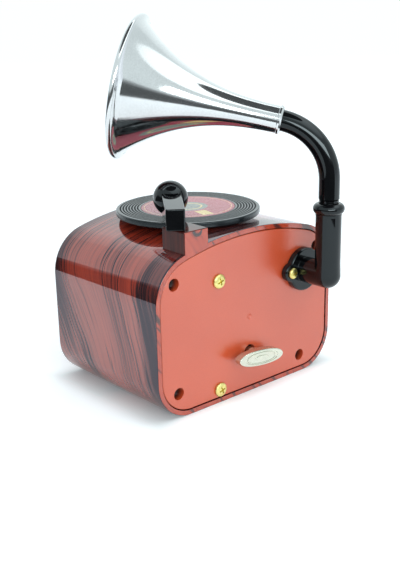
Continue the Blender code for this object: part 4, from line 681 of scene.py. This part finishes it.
# Painted shade for the crease inside the bell's rolled lip
LIP_SHADOW = black_look("lip_crease_shade", (0.3, 0.5))
RECORD = record_look("record_black", (0.15, 0.26), 0.55)
GROOVE = record_look("record_groove", (0.50, 0.62), 0.05)
LABEL = label_look()
SILVER = grained_look("silver_plate", (0.60, 0.61, 0.62), (0.70, 0.71, 0.72), (0.06, 0.14), 1.0)
NICKEL = grained_look(
    "nickel", (0.62, 0.63, 0.53), (0.71, 0.72, 0.61), (0.20, 0.32), 1.0, (600, 600, 600), 0.000003,
)
SCREW_BRASS = grained_look(
    "screw_brass", (0.72, 0.62, 0.20), (0.84, 0.75, 0.30), (0.28, 0.40), 1.0, (700, 700, 700),
)
STEEL = grained_look("steel", (0.50, 0.50, 0.51), (0.62, 0.62, 0.63), (0.24, 0.40), 1.0, (400, 400, 3000))

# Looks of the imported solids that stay, by material slot
NODE_LOOKS = {look.name: look for look in (
    grained_look("movement_brass", (0.62, 0.46, 0.18), (0.76, 0.60, 0.28), (0.24, 0.40), 1.0),
    STEEL,
    grained_look("spring_steel", (0.10, 0.12, 0.17), (0.24, 0.26, 0.31), (0.25, 0.40), 1.0),
    grained_look("cast_zinc", (0.42, 0.42, 0.43), (0.54, 0.54, 0.55), (0.42, 0.60), 1.0, depth=0.00003),
    grained_look("white_nylon", (0.74, 0.73, 0.69), (0.82, 0.81, 0.78), (0.38, 0.50)),
)}


# Case

def case_outline(inset):
    """Outline of the case seen along Y, drawn in by inset, as (x, z) points."""
    arch_z = CASE_HEIGHT - ARCH_RADIUS
    side = HALF_WIDTH - SHOULDER_RADIUS
    reach = ARCH_RADIUS - SHOULDER_RADIUS
    shoulder_z = arch_z + sqrt(reach * reach - side * side)
    meet = degrees(acos(side / reach))
    foot_x = HALF_WIDTH - BOTTOM_RADIUS
    half = arc((foot_x, BOTTOM_RADIUS), BOTTOM_RADIUS - inset, -90, 0, 18)
    half += arc((side, shoulder_z), SHOULDER_RADIUS - inset, 0, meet, 18)
    half += arc((0, arch_z), ARCH_RADIUS - inset, meet, 90, 16)[1:]
    return half + [(-x, z) for x, z in half[-2::-1]]


def outline_ring(inset, y):
    return [(x, y, z) for x, z in case_outline(inset)]


def rounded_box(bm, low, high, radius):
    made = bmesh.ops.create_cube(bm, size=1.0)
    for vert in made["verts"]:
        vert.co = Vector([low[i] if vert.co[i] < 0 else high[i] for i in range(3)])
    bmesh.ops.bevel(bm, geom=bm.edges[:], offset=radius, segments=3, affect="EDGES", profile=0.5)


def on_post(spot):
    """True for a point on the arm's post; past its far edge the shoulder is lower."""
    margin = 0.0001
    top = CASE_HEIGHT - ARCH_RADIUS + sqrt(ARCH_RADIUS ** 2 - spot.x ** 2)
    if spot.x >= PEDESTAL_HIGH[0] - PEDESTAL_EDGE:
        top -= SHOULDER_DROP
    inside = all(PEDESTAL_LOW[i] - margin < spot[i] < PEDESTAL_HIGH[i] + margin for i in range(3))
    return inside and spot.z > top + 2 * margin


def case_body():
    rings = [outline_ring(drop, FRONT_Y + inset) for inset, drop in quarter(FRONT_ROUND, 6)]
    rings += [outline_ring(inset, BACK_Y - drop) for inset, drop in quarter(RIM_ROUND, 4)]
    bm = bmesh.new()
    add_rings(bm, rings)
    body = make_object("case_body", bm, WOOD)

    bm = bmesh.new()
    rounded_box(bm, PEDESTAL_LOW, PEDESTAL_HIGH, PEDESTAL_ROUND)
    combine(body, "pedestal", bm, "UNION")

    cavity = [outline_ring(CASE_WALL + wall, BACK_Y + step) for wall, step in CASE_MOUTH]
    cavity += [outline_ring(CASE_WALL, FRONT_Y + FRONT_WALL)]
    bm = bmesh.new()
    add_rings(bm, cavity)
    combine(body, "cavity", bm, "DIFFERENCE")

    post_start = FRONT_Y + FRONT_WALL / 2
    post_top = COVER_OUTER_Y - WELL_DEPTH - COVER_GAP
    bm = bmesh.new()
    add_rods(bm, WELLS, post_start, POST_RADIUS, post_top - post_start, 24)
    combine(body, "posts", bm, "UNION")

    bm = bmesh.new()
    add_rods(bm, WELLS, post_top - CASE_SCREW_DEPTH, CASE_SCREW_HOLE, CASE_SCREW_DEPTH + 2 * PAST, 12)
    bush = Matrix.Translation((0, RECORD_Y, CASE_HEIGHT - BUSH_HOLE_DEPTH))
    add_rod(bm, BUSH_HOLE_RADIUS, 0.0, 2 * BUSH_HOLE_DEPTH, 32, bush)
    pin = Matrix.Translation((*ARM_PIVOT, PEDESTAL_HIGH[2] - PIN_HOLE_DEPTH))
    add_rod(bm, PIN_HOLE_RADIUS, 0.0, 2 * PIN_HOLE_DEPTH, 24, pin)
    combine(body, "holes", bm, "DIFFERENCE")

    for look in (WOOD_END, POST_PAINTED_SHADE, WOOD_FRONT):
        body.data.materials.append(look)
    for face in body.data.polygons:
        spot, facing = face.center, face.normal.y
        if facing > 0.8 and spot.y > BACK_Y - 0.0006:
            face.material_index = 1
        # Post faces other than the back take the near-black painted shade
        elif on_post(spot):
            face.material_index = 2
        elif facing < -0.8 and spot.y < FRONT_Y + 0.0010:
            face.material_index = 3
    place_piece(body, "case", "wood_gloss", "case_shell")


def round_hole(bm, x, z, radius, depth, steps=40):
    """Cutter for a hole along Y whose rim is eased."""
    profile = [(0.0, -depth), (radius, -depth)]
    profile += [(radius + inset, -drop) for inset, drop in quarter(HOLE_ROUND, 4)]
    profile += [(radius + HOLE_ROUND, PAST), (0.0, PAST)]
    add_turned(bm, profile, steps, along_y(x, COVER_OUTER_Y, z))


def cover():
    inset = CASE_WALL + COVER_GAP
    inner_y = COVER_OUTER_Y - COVER_THICKNESS
    rings = [outline_ring(inset, inner_y)]
    rings += [outline_ring(inset + more, COVER_OUTER_Y - drop) for more, drop in quarter(COVER_ROUND, 5)]
    bm = bmesh.new()
    add_rings(bm, rings)
    plate = make_object("cover_plate", bm, TERRACOTTA)

    bm = bmesh.new()
    back = COVER_OUTER_Y - WELL_DEPTH
    add_rods(bm, WELLS, back, WELL_RADIUS + WELL_WALL, WELL_DEPTH - COVER_THICKNESS / 2, 32)
    combine(plate, "cups", bm, "UNION")

    bm = bmesh.new()
    for x, z in WELLS:
        round_hole(bm, x, z, WELL_RADIUS, WELL_DEPTH - WELL_FLOOR)
    round_hole(bm, 0.0, KEY_Z, KEY_HOLE_RADIUS, 2 * COVER_THICKNESS, 48)
    combine(plate, "wells", bm, "DIFFERENCE")

    bm = bmesh.new()
    add_rods(bm, WELLS, back - PAST, CASE_SCREW_HOLE, 4 * PAST, 16)
    add_rods(bm, MOVEMENT_SCREWS + EARS, inner_y - 2 * PAST, SCREW_HOLE, 8 * PAST, 20)
    dimple = [(0.0, -DIMPLE_DEPTH), (DIMPLE_RADIUS * 0.5, -DIMPLE_DEPTH), (DIMPLE_RADIUS * 1.1, -0.0001)]
    dimple += [(DIMPLE_RADIUS * 1.25, 0.0), (DIMPLE_RADIUS * 1.25, PAST), (0.0, PAST)]
    add_turned(bm, dimple, 24, along_y(0.0, COVER_OUTER_Y, DIMPLE_Z))
    combine(plate, "cover_holes", bm, "DIFFERENCE")
    place_piece(plate, "case", "terracotta", "back_cover")


# Screws

def screw(name, node, look, slot, sizes):
    """Pan head screw with a cross recess, placed on its CAD node."""
    head_radius, head_height, shank_radius = sizes
    low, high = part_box(node)
    x, z = (low.x + high.x) / 2, (low.z + high.z) / 2
    seat = high.y - head_height
    tip = low.y - seat
    edge = HEAD_EDGE * head_height
    profile = [(0.0, tip), (shank_radius * 0.6, tip), (shank_radius, tip + SCREW_POINT), (shank_radius, 0.0)]
    profile += [(head_radius * 0.96, 0.0), (head_radius, edge * 0.4), (head_radius, edge)]
    for i in range(1, 8):
        turn = radians(90 * i / 8)
        profile.append((head_radius * cos(turn) ** HEAD_DOME, edge + (head_height - edge) * sin(turn)))
    profile.append((0.0, head_height))
    bm = bmesh.new()
    add_turned(bm, profile, 40, along_y(x, seat, z))
    made = make_object(name, bm, look, 40.0)

    bm = bmesh.new()
    reach, half = head_radius * CROSS_REACH, head_radius * CROSS_HALF
    floor = seat + head_height * CROSS_FLOOR
    cross = [(reach, -half), (reach, half), (half, half), (half, reach), (-half, reach), (-half, half)]
    cross += [(-a, -b) for a, b in cross]
    turn = Matrix.Translation((x, 0, z)) @ Matrix.Rotation(radians(CROSS_TURN), 4, "Y")
    lower = [turn @ Vector((a * CROSS_NARROW, floor, b * CROSS_NARROW)) for a, b in cross]
    upper = [turn @ Vector((a * CROSS_WIDE, high.y + 0.0004, b * CROSS_WIDE)) for a, b in cross]
    add_rings(bm, [lower, upper])
    combine(made, name + "_cross", bm, "DIFFERENCE", 40.0)
    place_piece(made, "case", slot, node)


def screws():
    for number in (1, 2):
        screw(f"cover_screw_{number}", f"movement_screw_{number}", SCREW_BRASS, "screw_brass", COVER_SCREW)
        screw(f"ear_screw_{number}", f"elbow_screw_{number}", SCREW_BRASS, "screw_brass", EAR_SCREW)
    for number in (1, 2, 3, 4):
        screw(f"well_screw_{number}", f"case_screw_{number}", STEEL, "steel", WELL_SCREW)


# Horn and its elbow

def flange_ring(inset, y):
    """Round flange with an ear on each side, softly blended."""
    points = []
    for i in range(FLANGE_SIDES):
        turn = 2 * pi * i / FLANGE_SIDES
        rise = sin(turn) ** 2 * EAR_OFFSET ** 2
        ear = 0.0
        if rise < EAR_RADIUS ** 2:
            ear = EAR_OFFSET * abs(cos(turn)) + sqrt(EAR_RADIUS ** 2 - rise)
        radius = (FLANGE_RADIUS ** EAR_BLEND + ear ** EAR_BLEND) ** (1 / EAR_BLEND) - inset
        points.append((ELBOW_X + radius * cos(turn), y, ELBOW_Z + radius * sin(turn)))
    return points


def horn_elbow():
    back = COVER_OUTER_Y + ELBOW_GAP
    rings = [flange_ring(FLANGE_EASE, back), flange_ring(0.0, back + FLANGE_EASE)]
    rings += [flange_ring(inset, back + FLANGE_THICKNESS - drop) for inset, drop in quarter(FLANGE_ROUND, 5)]
    bm = bmesh.new()
    add_rings(bm, rings)
    elbow = make_object("elbow", bm, BLACK)

    bm = bmesh.new()
    add_rods(bm, EARS, back - PAST, SCREW_HOLE, 2 * FLANGE_THICKNESS, 24)
    combine(elbow, "ear_holes", bm, "DIFFERENCE")

    reach = ELBOW_Y - back
    tube = [(0.0, 0.001), (ELBOW_TUBE_RADIUS + TUBE_FLARE, 0.001)]
    tube += [(ELBOW_TUBE_RADIUS + drop, FLANGE_THICKNESS + inset) for inset, drop in quarter(TUBE_FLARE, 4)]
    tube += arc((0.0, reach), ELBOW_TUBE_RADIUS, 0, 90, 12)[:-1] + [(0.0, reach + ELBOW_TUBE_RADIUS)]
    bm = bmesh.new()
    add_turned(bm, tube, 64, along_y(ELBOW_X, back, ELBOW_Z))
    combine(elbow, "level_tube", bm, "UNION")

    bead = COLLAR_HEIGHT / 2
    wall_top = SOCKET_TOP + COLLAR_HEIGHT
    socket = [(0.0, ELBOW_Z - ELBOW_CORNER_RADIUS)]
    socket += arc((0.0, ELBOW_Z), ELBOW_CORNER_RADIUS, -90, 0, 12)[1:]
    socket += [(SOCKET_RADIUS, ELBOW_Z + 0.006), (SOCKET_RADIUS, SOCKET_TOP - 0.0010)]
    socket += [(SOCKET_RADIUS + 0.00004, SOCKET_TOP - 0.0005)]
    socket += [(SOCKET_RADIUS + 0.00013, SOCKET_TOP - 0.0001)]
    socket += arc((COLLAR_RADIUS - bead, SOCKET_TOP + bead), bead, -58, 78, 20)
    socket += [(SOCKET_BORE + 0.0003, wall_top - 0.0001), (SOCKET_BORE, wall_top - 0.0005)]
    socket += [(SOCKET_BORE, SOCKET_BOTTOM), (0.0, SOCKET_BOTTOM)]
    bm = bmesh.new()
    add_turned(bm, socket, 72, Matrix.Translation((ELBOW_X, ELBOW_Y, 0)))
    combine(elbow, "socket", bm, "UNION")
    place_piece(elbow, "case", "gloss_black", "horn_elbow")


def horn_path():
    """Points and directions along the neck's bend; the last pair is where the bell starts."""
    heading = radians(HORN_HEADING)
    level = Vector((sin(heading), -cos(heading), 0))
    start = Vector((ELBOW_X, ELBOW_Y, NECK_BEND_Z))
    path = []
    for i in range(NECK_BEND_STEPS + 1):
        turn = radians((90 - HORN_TILT) * i / NECK_BEND_STEPS)
        lift = Vector((0, 0, NECK_BEND_RADIUS * sin(turn)))
        point = start + level * NECK_BEND_RADIUS * (1 - cos(turn)) + lift
        path.append((point, (level * sin(turn) + Vector((0, 0, cos(turn)))).normalized()))
    return path


def horn_neck():
    """Hollow neck with a plug for the elbow's socket and two thin beads above it."""
    path = horn_path()
    end, direction = path[-1]
    up = Vector((0, 0, 1))
    bead = PLUG_RADIUS + NECK_EASE
    upright = [(NECK_BOTTOM, PLUG_RADIUS - NECK_EASE), (NECK_BOTTOM + NECK_EASE, PLUG_RADIUS)]
    for z in NECK_BEADS:
        upright += [(z, PLUG_RADIUS), (z + 0.0001, bead), (z + 0.0003, bead), (z + 0.0004, PLUG_RADIUS)]
    upright += [(NECK_FOOT, PLUG_RADIUS + 0.0001), (NECK_FOOT, NECK_RADIUS - 0.0002)]
    upright += [(NECK_FOOT + NECK_EASE, NECK_RADIUS), (NECK_STRAIGHT_Z, NECK_RADIUS)]
    stations = [(Vector((ELBOW_X, ELBOW_Y, z)), up, radius) for z, radius in upright]
    stations += [(point, along, NECK_RADIUS) for point, along in path]
    tip = end + direction * BELL_SLEEVE
    stations += [(tip - direction * NECK_EASE, direction, NECK_RADIUS)]
    stations += [(tip, direction, radius) for radius in (NECK_RADIUS - NECK_EASE, NECK_BORE)]
    stations += [(point, along, NECK_BORE) for point, along in reversed(path)]
    stations += [(Vector((ELBOW_X, ELBOW_Y, NECK_BOTTOM)), up, NECK_BORE)]
    heading = radians(HORN_HEADING)
    side = Vector((cos(heading), sin(heading), 0))
    turns = [2 * pi * i / NECK_SIDES for i in range(NECK_SIDES)]
    rings = []
    for point, along, radius in stations:
        normal = along.cross(side).normalized()
        rings.append([point + (side * cos(turn) + normal * sin(turn)) * radius for turn in turns])
    bm = bmesh.new()
    add_rings(bm, rings, closed=True)
    place_piece(make_object("neck", bm, BLACK), "horn", "gloss_black", "horn_neck")


def horn_bell():
    """Flared bell with a rolled lip, and painted shade in the crease inside the roll."""
    end, direction = horn_path()[-1]
    throat = NECK_RADIUS + BELL_GAP
    small = throat + BELL_WALL
    gain = BELL_RADIUS - BELL_LIP - small
    outer, inner = [], []
    for i in range(BELL_STEPS + 1):
        t = i / BELL_STEPS
        slope = BELL_FLARE * gain * t ** (BELL_FLARE - 1) / BELL_LENGTH
        size = sqrt(1 + slope * slope)
        radius, height = small + gain * t ** BELL_FLARE, BELL_LENGTH * t
        outer.append((radius, height))
        inner.append((radius - BELL_WALL / size, height + BELL_WALL * slope / size))
    inner = [point for point in inner if point[1] > BELL_SLEEVE + 0.0006][:-1]
    sleeve_edge = [(small + step, height) for step, height in BELL_BEAD]
    outer = sleeve_edge + [point for point in outer if point[1] > BELL_BEAD[-1][1] + 0.0001][:-1]
    lip = arc((BELL_RADIUS - BELL_LIP, BELL_LENGTH), BELL_LIP, -62, 158, 16)
    crease_radius, crease_height = inner[-1]
    crease = [(crease_radius + 0.0004, crease_height + 0.00002)]
    crease += [(crease_radius + 0.0001, crease_height - 0.0003)]
    inside = [(NECK_BORE, BELL_SLEEVE + BELL_GAP), (throat, BELL_SLEEVE + BELL_GAP), (throat, BELL_GAP)]
    bm = bmesh.new()
    turn = direction.to_track_quat("Z", "Y").to_matrix().to_4x4()
    profile = outer + lip + crease + inner[::-1] + inside
    add_turned(bm, profile, BELL_SIDES, Matrix.Translation(end) @ turn, closed=True)
    bell = make_object("bell", bm, SILVER, 40.0)
    bell.data.materials.append(LIP_SHADOW)
    # Painted shade: faces in the crease inside the roll take the near-black material
    for face in bell.data.polygons:
        away = face.center - end
        height = away.dot(direction)
        radius = (away - direction * height).length
        in_height = -0.0006 < height - crease_height < 0.0002
        if in_height and -0.00005 < radius - crease_radius < 0.0005:
            face.material_index = 1
    place_piece(bell, "horn", "silver_plate", "horn_bell")


# Record and tone arm

def record():
    bottom = RECORD_TOP - RECORD_THICKNESS
    seat = RECORD_TOP - LABEL_THICKNESS - 0.0003
    rim = LABEL_RADIUS + 0.0002
    profile = [(RECORD_BORE, seat), (rim, seat), (rim, RECORD_TOP - 0.0001), (rim + 0.0001, RECORD_TOP)]
    for i in range(GROOVES):
        for share, depth in GROOVE_SHAPE:
            profile.append((GROOVE_FIRST + GROOVE_PITCH * (i + share), RECORD_TOP - GROOVE_DEPTH * depth))
    side = RECORD_RADIUS - RECORD_EDGE
    profile += arc((side, RECORD_TOP - RECORD_EDGE), RECORD_EDGE, 90, 0, 6)
    profile += arc((side, bottom + RECORD_EDGE), RECORD_EDGE, 0, -70, 5)
    profile += [(side - RECORD_EDGE, bottom), (RECORD_HUB_RADIUS, bottom), (RECORD_HUB_RADIUS, RECORD_HUB_Z)]
    profile += [(RECORD_BORE, RECORD_HUB_Z)]
    bm = bmesh.new()
    add_turned(bm, profile, 144, Matrix.Translation((0, RECORD_Y, 0)), closed=True)
    disc = make_object("record", bm, RECORD, 35.0)
    disc.data.materials.append(GROOVE)
    for face in disc.data.polygons:
        spot = face.center - Vector((0, RECORD_Y, 0))
        turns = (hypot(spot.x, spot.y) - GROOVE_FIRST) / GROOVE_PITCH
        if spot.z > RECORD_TOP - 0.0002 and 0 < turns < GROOVES and turns % 1.0 < GROOVE_SHAPE[-1][0]:
            face.material_index = 1
    place_piece(disc, "turntable", "record_black", "record_disc")

    low = RECORD_TOP - LABEL_THICKNESS
    profile = [(0.0, low), (LABEL_RADIUS, low), (LABEL_RADIUS, RECORD_TOP - LABEL_EASE)]
    profile += [(LABEL_RADIUS - LABEL_EASE, RECORD_TOP), (LABEL_RADIUS * 0.5, RECORD_TOP), (0.0, RECORD_TOP)]
    bm = bmesh.new()
    add_turned(bm, profile, 128, Matrix.Translation((0, RECORD_Y, 0)))
    place_piece(make_object("label", bm, LABEL), "turntable", "label_paper", "record_label")


def tone_arm():
    bm = bmesh.new()
    bmesh.ops.create_cube(bm, size=1.0)
    for vert in bm.verts:
        level = int(vert.co.z > 0)
        side = copysign(ARM_HALF, vert.co.y)
        if vert.co.x < 0:
            vert.co = Vector((-ARM_REAR + ARM_DRAFT * level, side, ARM_REAR_Z[level]))
        else:
            vert.co = Vector((ARM_REACH, side * ARM_FLARE, ARM_FRONT_Z[level]))
    upright = []
    for edge in bm.edges:
        first, second = (vert.co for vert in edge.verts)
        if first.x < 0 and second.x < 0 and first.y * second.y > 0:
            upright.append(edge)
    bmesh.ops.bevel(bm, geom=upright, offset=ARM_REAR_ROUND, segments=6, affect="EDGES", profile=0.5)
    bm.normal_update()
    sharp = [edge for edge in bm.edges if edge.calc_face_angle(0.0) > radians(50)]
    bmesh.ops.bevel(bm, geom=sharp, offset=ARM_EDGE_ROUND, segments=3, affect="EDGES", profile=0.5)
    arm = make_object("arm", bm, BLACK)

    bm = bmesh.new()
    ball = arc((0.0, BALL_Z), BALL_RADIUS, -90, 90, 36)
    ball = [(0.0, BALL_Z - BALL_RADIUS)] + ball[1:-1] + [(0.0, BALL_Z + BALL_RADIUS)]
    add_turned(bm, ball, 72, Matrix.Translation((ARM_REACH, 0, 0)))
    combine(arm, "ball", bm, "UNION")

    bm = bmesh.new()
    stylus = [(radius, STYLUS_TIP_Z + height) for radius, height in STYLUS]
    add_turned(bm, stylus, 24, Matrix.Translation((ARM_REACH, 0, 0)))
    combine(arm, "stylus", bm, "UNION")

    bm = bmesh.new()
    add_rod(bm, ARM_BORE_RADIUS, ARM_BORE_BOTTOM, ARM_BORE_TOP, 24, Matrix.Identity(4))
    combine(arm, "arm_bore", bm, "DIFFERENCE")
    arm.data.transform(Matrix.Translation((*ARM_PIVOT, 0)) @ Matrix.Rotation(radians(ARM_ANGLE), 4, "Z"))
    place_piece(arm, "tone_arm", "gloss_black", "tone_arm")


# Winding key

def key_outline():
    """Long oval with nearly square ends, as (x, z) points."""
    span = sqrt(1 - (KEY_END_HALF / KEY_HALF_HEIGHT) ** 2)
    steps = 48
    half = []
    for i in range(steps):
        u = -cos(pi * i / steps)
        end = (1 - abs(u) ** KEY_END_POWER) ** (1 / KEY_END_ROOT)
        half.append((KEY_HALF_LENGTH * u, KEY_HALF_HEIGHT * sqrt(1 - (u * span) ** 2) * end))
    return half + [(-x, -z) for x, z in half]


def winding_key():
    """Pressed key: an oval face with rounded edges, a shallow oval channel and a skirt behind."""
    outline = key_outline()
    turn = Matrix.Translation((0, 0, KEY_Z - KEY_DROOP)) @ Matrix.Rotation(radians(-KEY_TILT), 4, "Y")

    def ring(inset, y, share=1.0):
        wide = share * (KEY_HALF_LENGTH - inset) / KEY_HALF_LENGTH
        high = share * (KEY_HALF_HEIGHT - inset) / KEY_HALF_HEIGHT
        return [turn @ Vector((x * wide, y, z * high)) for x, z in outline]

    under = KEY_FACE_Y - KEY_PLATE
    skirt = under - KEY_SKIRT
    rings = [ring(0, under, KEY_CENTRE), ring(KEY_SKIRT_WALL + 0.0004, under)]
    rings += [ring(KEY_SKIRT_WALL, under - 0.0004), ring(KEY_SKIRT_WALL, skirt + 0.0001)]
    rings += [ring(KEY_SKIRT_WALL - 0.0002, skirt), ring(0.0002, skirt), ring(0, skirt + 0.0002)]
    rings += [ring(inset, KEY_FACE_Y - drop) for inset, drop in quarter(KEY_ROUND, 5)]
    rings += [ring(0, KEY_FACE_Y - depth, share) for share, depth in KEY_CHANNEL]
    bm = bmesh.new()
    add_rings(bm, rings)

    length = under - KEY_HUB_START
    wide = KEY_HUB_RADIUS + KEY_HUB_FILLET
    hub = [(KEY_HUB_BORE, 0.0), (KEY_HUB_RADIUS - 0.0002, 0.0), (KEY_HUB_RADIUS, 0.0002)]
    hub += [(KEY_HUB_RADIUS, length - KEY_HUB_FILLET), (wide, length), (wide, length + 0.0003)]
    hub += [(0.0, length + 0.0003), (0.0, KEY_HUB_BORE_DEPTH), (KEY_HUB_BORE, KEY_HUB_BORE_DEPTH)]
    add_turned(bm, hub, 48, along_y(0, KEY_HUB_START, KEY_Z), closed=True)
    place_piece(make_object("key_plate", bm, NICKEL), "key", "nickel", "winding_key")


# Movement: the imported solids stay, with their own looks

def dress_movement():
    for part in frame["record"]["subparts"]:
        look = NODE_LOOKS.get(part["material_slot"])
        if look:
            node = frame["nodes"][part["node"]]
            node.data.materials.clear()
            node.data.materials.append(look)


# Stage

def path_rays(tree):
    """1 for rays from the camera, a reflection or glass, and 0 for the light on surfaces."""
    rays = add(tree, "LightPath").outputs
    seen = sums(tree, "MAXIMUM", rays["Is Camera Ray"], rays["Is Glossy Ray"])
    return sums(tree, "MAXIMUM", seen, rays["Is Transmission Ray"])


def card_height(angle):
    """Height of the dark surround's edge at an azimuth."""
    for (low, start), (high, end) in zip(CARD_EDGE, CARD_EDGE[1:]):
        if low <= angle <= high:
            return start + (end - start) * (angle - low) / (high - low)
    return 0.0


def dark_card():
    """Dark surround past the sheet's edge on the camera's side, seen only in reflections."""
    look, tree, shader, _ = new_look("dark_card")
    shade = add(tree, "Attribute", attribute_name="shade").outputs["Fac"]
    put(shader, {
        "Base Color": (0.0, 0.0, 0.0, 1.0), "Specular IOR Level": 0.0, "Roughness": 1.0,
        "Emission Color": (0.88, 0.97, 1.0, 1.0), "Emission Strength": shade,
    })
    bm = bmesh.new()
    rows, shades = [], []
    for i in range(CARD_STEPS + 1):
        angle = CARD_START + CARD_SWEEP * i / CARD_STEPS
        height = card_height(angle)
        turn = radians(angle)
        x, y = CARD_RADIUS * cos(turn), CARD_RADIUS * sin(turn)
        soft = max(height - CARD_SOFT, 0.5 * height)
        rows.append([bm.verts.new((x, y, z)) for z in (0.0, soft, height)])
        share = min(max((angle - CARD_STEP) / CARD_STEP_WIDTH, 0.0), 1.0)
        low, top = (before + gain * share for before, gain in CARD_SHADES)
        shades += [low, low, top]
    for left, right in zip(rows, rows[1:]):
        for i in range(2):
            bm.faces.new((left[i], right[i], right[i + 1], left[i + 1]))
    above = Matrix.Translation(DISC_PLACE)
    made = bmesh.ops.create_circle(bm, cap_ends=True, segments=48, radius=DISC_RADIUS, matrix=above)
    shades += [DISC_SHADE] * len(made["verts"])
    card = make_object("dark_card", bm, look)
    card.data.attributes.new("shade", "FLOAT", "POINT").data.foreach_set("value", shades)
    card.visible_camera = False
    card.visible_diffuse = False
    card.visible_transmission = False
    card.visible_shadow = False


def surround():
    """World that lights the object softly and is white where it is seen."""
    world = bpy.data.worlds.new("white_surround")
    bpy.context.scene.world = world
    world.use_nodes = True
    tree = world.node_tree
    soft = tree.nodes["Background"]
    put(soft, {"Color": (0.93, 0.99, 1.05, 1.0), "Strength": 0.44})
    glossy = add(tree, "LightPath").outputs["Is Glossy Ray"]
    tint = mixed(tree, glossy, (1.0, 1.0, 1.0, 1.0), (0.88, 0.99, 1.0, 1.0))
    white = add(tree, "Background", {"Color": tint, "Strength": 1.0})
    both = add(tree, "MixShader", {0: path_rays(tree), 1: soft.outputs[0], 2: white.outputs[0]})
    put(tree.nodes["World Output"], {"Surface": both.outputs[0]})


def white_floor():
    """Pale sheet that keeps the object's shadow, with a painted contact shadow: less glow right beside the
    case.
    """
    look, tree, shader, place = new_look("floor_white")
    seen = path_rays(tree)
    paper = mixed(tree, seen, (0.66, 0.64, 0.62, 1.0), (0.85, 0.88, 0.87, 1.0))
    put(shader, {"Base Color": paper, "Roughness": 0.9, "Specular IOR Level": 0.0})
    away = add(tree, "VectorMath", {0: place}, operation="LENGTH").outputs["Value"]
    axes = add(tree, "SeparateXYZ", {"Vector": place}).outputs
    side, back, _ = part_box("case_shell")[1]
    past_side = sums(tree, "SUBTRACT", sums(tree, "ABSOLUTE", axes["X"]), side)
    past_back = sums(tree, "SUBTRACT", sums(tree, "ABSOLUTE", axes["Y"]), back)
    past = sums(tree, "SMOOTH_MAX", past_side, past_back, FLOOR_SHADOW_CORNER)
    # Painted contact shadow: the glow drops right beside the case
    painted_shadow = sloped(tree, past, *FLOOR_PAINTED_SHADOW)
    strength = sums(tree, "MULTIPLY", sloped(tree, away, *FLOOR_GLOW), painted_shadow)
    glow = add(tree, "Emission", {"Color": (0.92, 1.0, 1.08, 1.0), "Strength": strength})
    lit = add(tree, "AddShader", {0: shader.outputs[0], 1: glow.outputs[0]})
    both = add(tree, "MixShader", {0: seen, 1: shader.outputs[0], 2: lit.outputs[0]})
    put(tree.nodes["Material Output"], {"Surface": both.outputs[0]})
    bm = bmesh.new()
    bmesh.ops.create_grid(bm, x_segments=1, y_segments=1, size=FLOOR_SIZE)
    floor = make_object("floor", bm, look)


def area_light(name, place, aim, size, radiance, glossy, beam=180.0, height=None):
    """Soft lamp whose surface has the given radiance; a narrow beam fades it to its edge."""
    lamp = bpy.data.lights.new(name, "AREA")
    lamp.color = (0.93, 0.99, 1.0)
    lamp.spread = radians(beam)
    lamp.shape = "RECTANGLE" if height else "DISK"
    lamp.size = size
    area = pi * size * size / 4
    if height:
        lamp.size_y = height
        area = size * height
    lamp.energy = radiance * pi * area
    holder = add_object(name, lamp)
    holder.location = place
    holder.rotation_euler = (Vector(aim) - Vector(place)).to_track_quat("-Z", "Y").to_euler()
    holder.visible_camera = False
    holder.visible_glossy = glossy


def lamps():
    area_light("overhead", (-0.15, 0.30, 1.05), (0, 0, 0.04), 1.6, 0.58, True, 100.0)
    area_light("backdrop", (-1.22, -1.40, 0.80), (0, 0, 0.06), 3.8, 0.13, True, 100.0)
    area_light("window", (0.386, 0.868, 0.356), (0, 0.03, 0.07), 0.85, 8.0, True, height=0.25)
    area_light("side_fill", (1.1, -0.1, 0.5), (0, 0, 0.04), 0.7, 0.5, False)
    area_light("front_fill", (-0.3, -1.0, 0.6), (0, 0, 0.04), 0.7, 0.6, False)


def camera():
    yaw, pitch, roll = (radians(v) for v in (CAMERA_YAW, CAMERA_PITCH, CAMERA_ROLL))
    forward = Vector((-sin(yaw) * cos(pitch), -cos(yaw) * cos(pitch), -sin(pitch)))
    right = Vector((-cos(yaw), sin(yaw), 0))
    up = right.cross(forward)
    across = right * cos(roll) + up * sin(roll)
    upward = up * cos(roll) - right * sin(roll)
    lens = bpy.data.cameras.new("camera")
    lens.sensor_width = 36.0
    lens.lens = CAMERA_LENS
    lens.clip_start = 0.01
    lens.clip_end = 50.0
    holder = add_object("camera", lens)
    turn = Matrix((across, upward, -forward)).transposed().to_4x4()
    holder.matrix_world = Matrix.Translation(CAMERA_PLACE) @ turn
    bpy.context.scene.camera = holder


def main():
    case_body()
    cover()
    screws()
    horn_elbow()
    horn_neck()
    horn_bell()
    record()
    tone_arm()
    winding_key()
    dress_movement()
    surround()
    white_floor()
    dark_card()
    lamps()
    camera()
    bpy.context.scene.view_settings.view_transform = "Standard"


main()
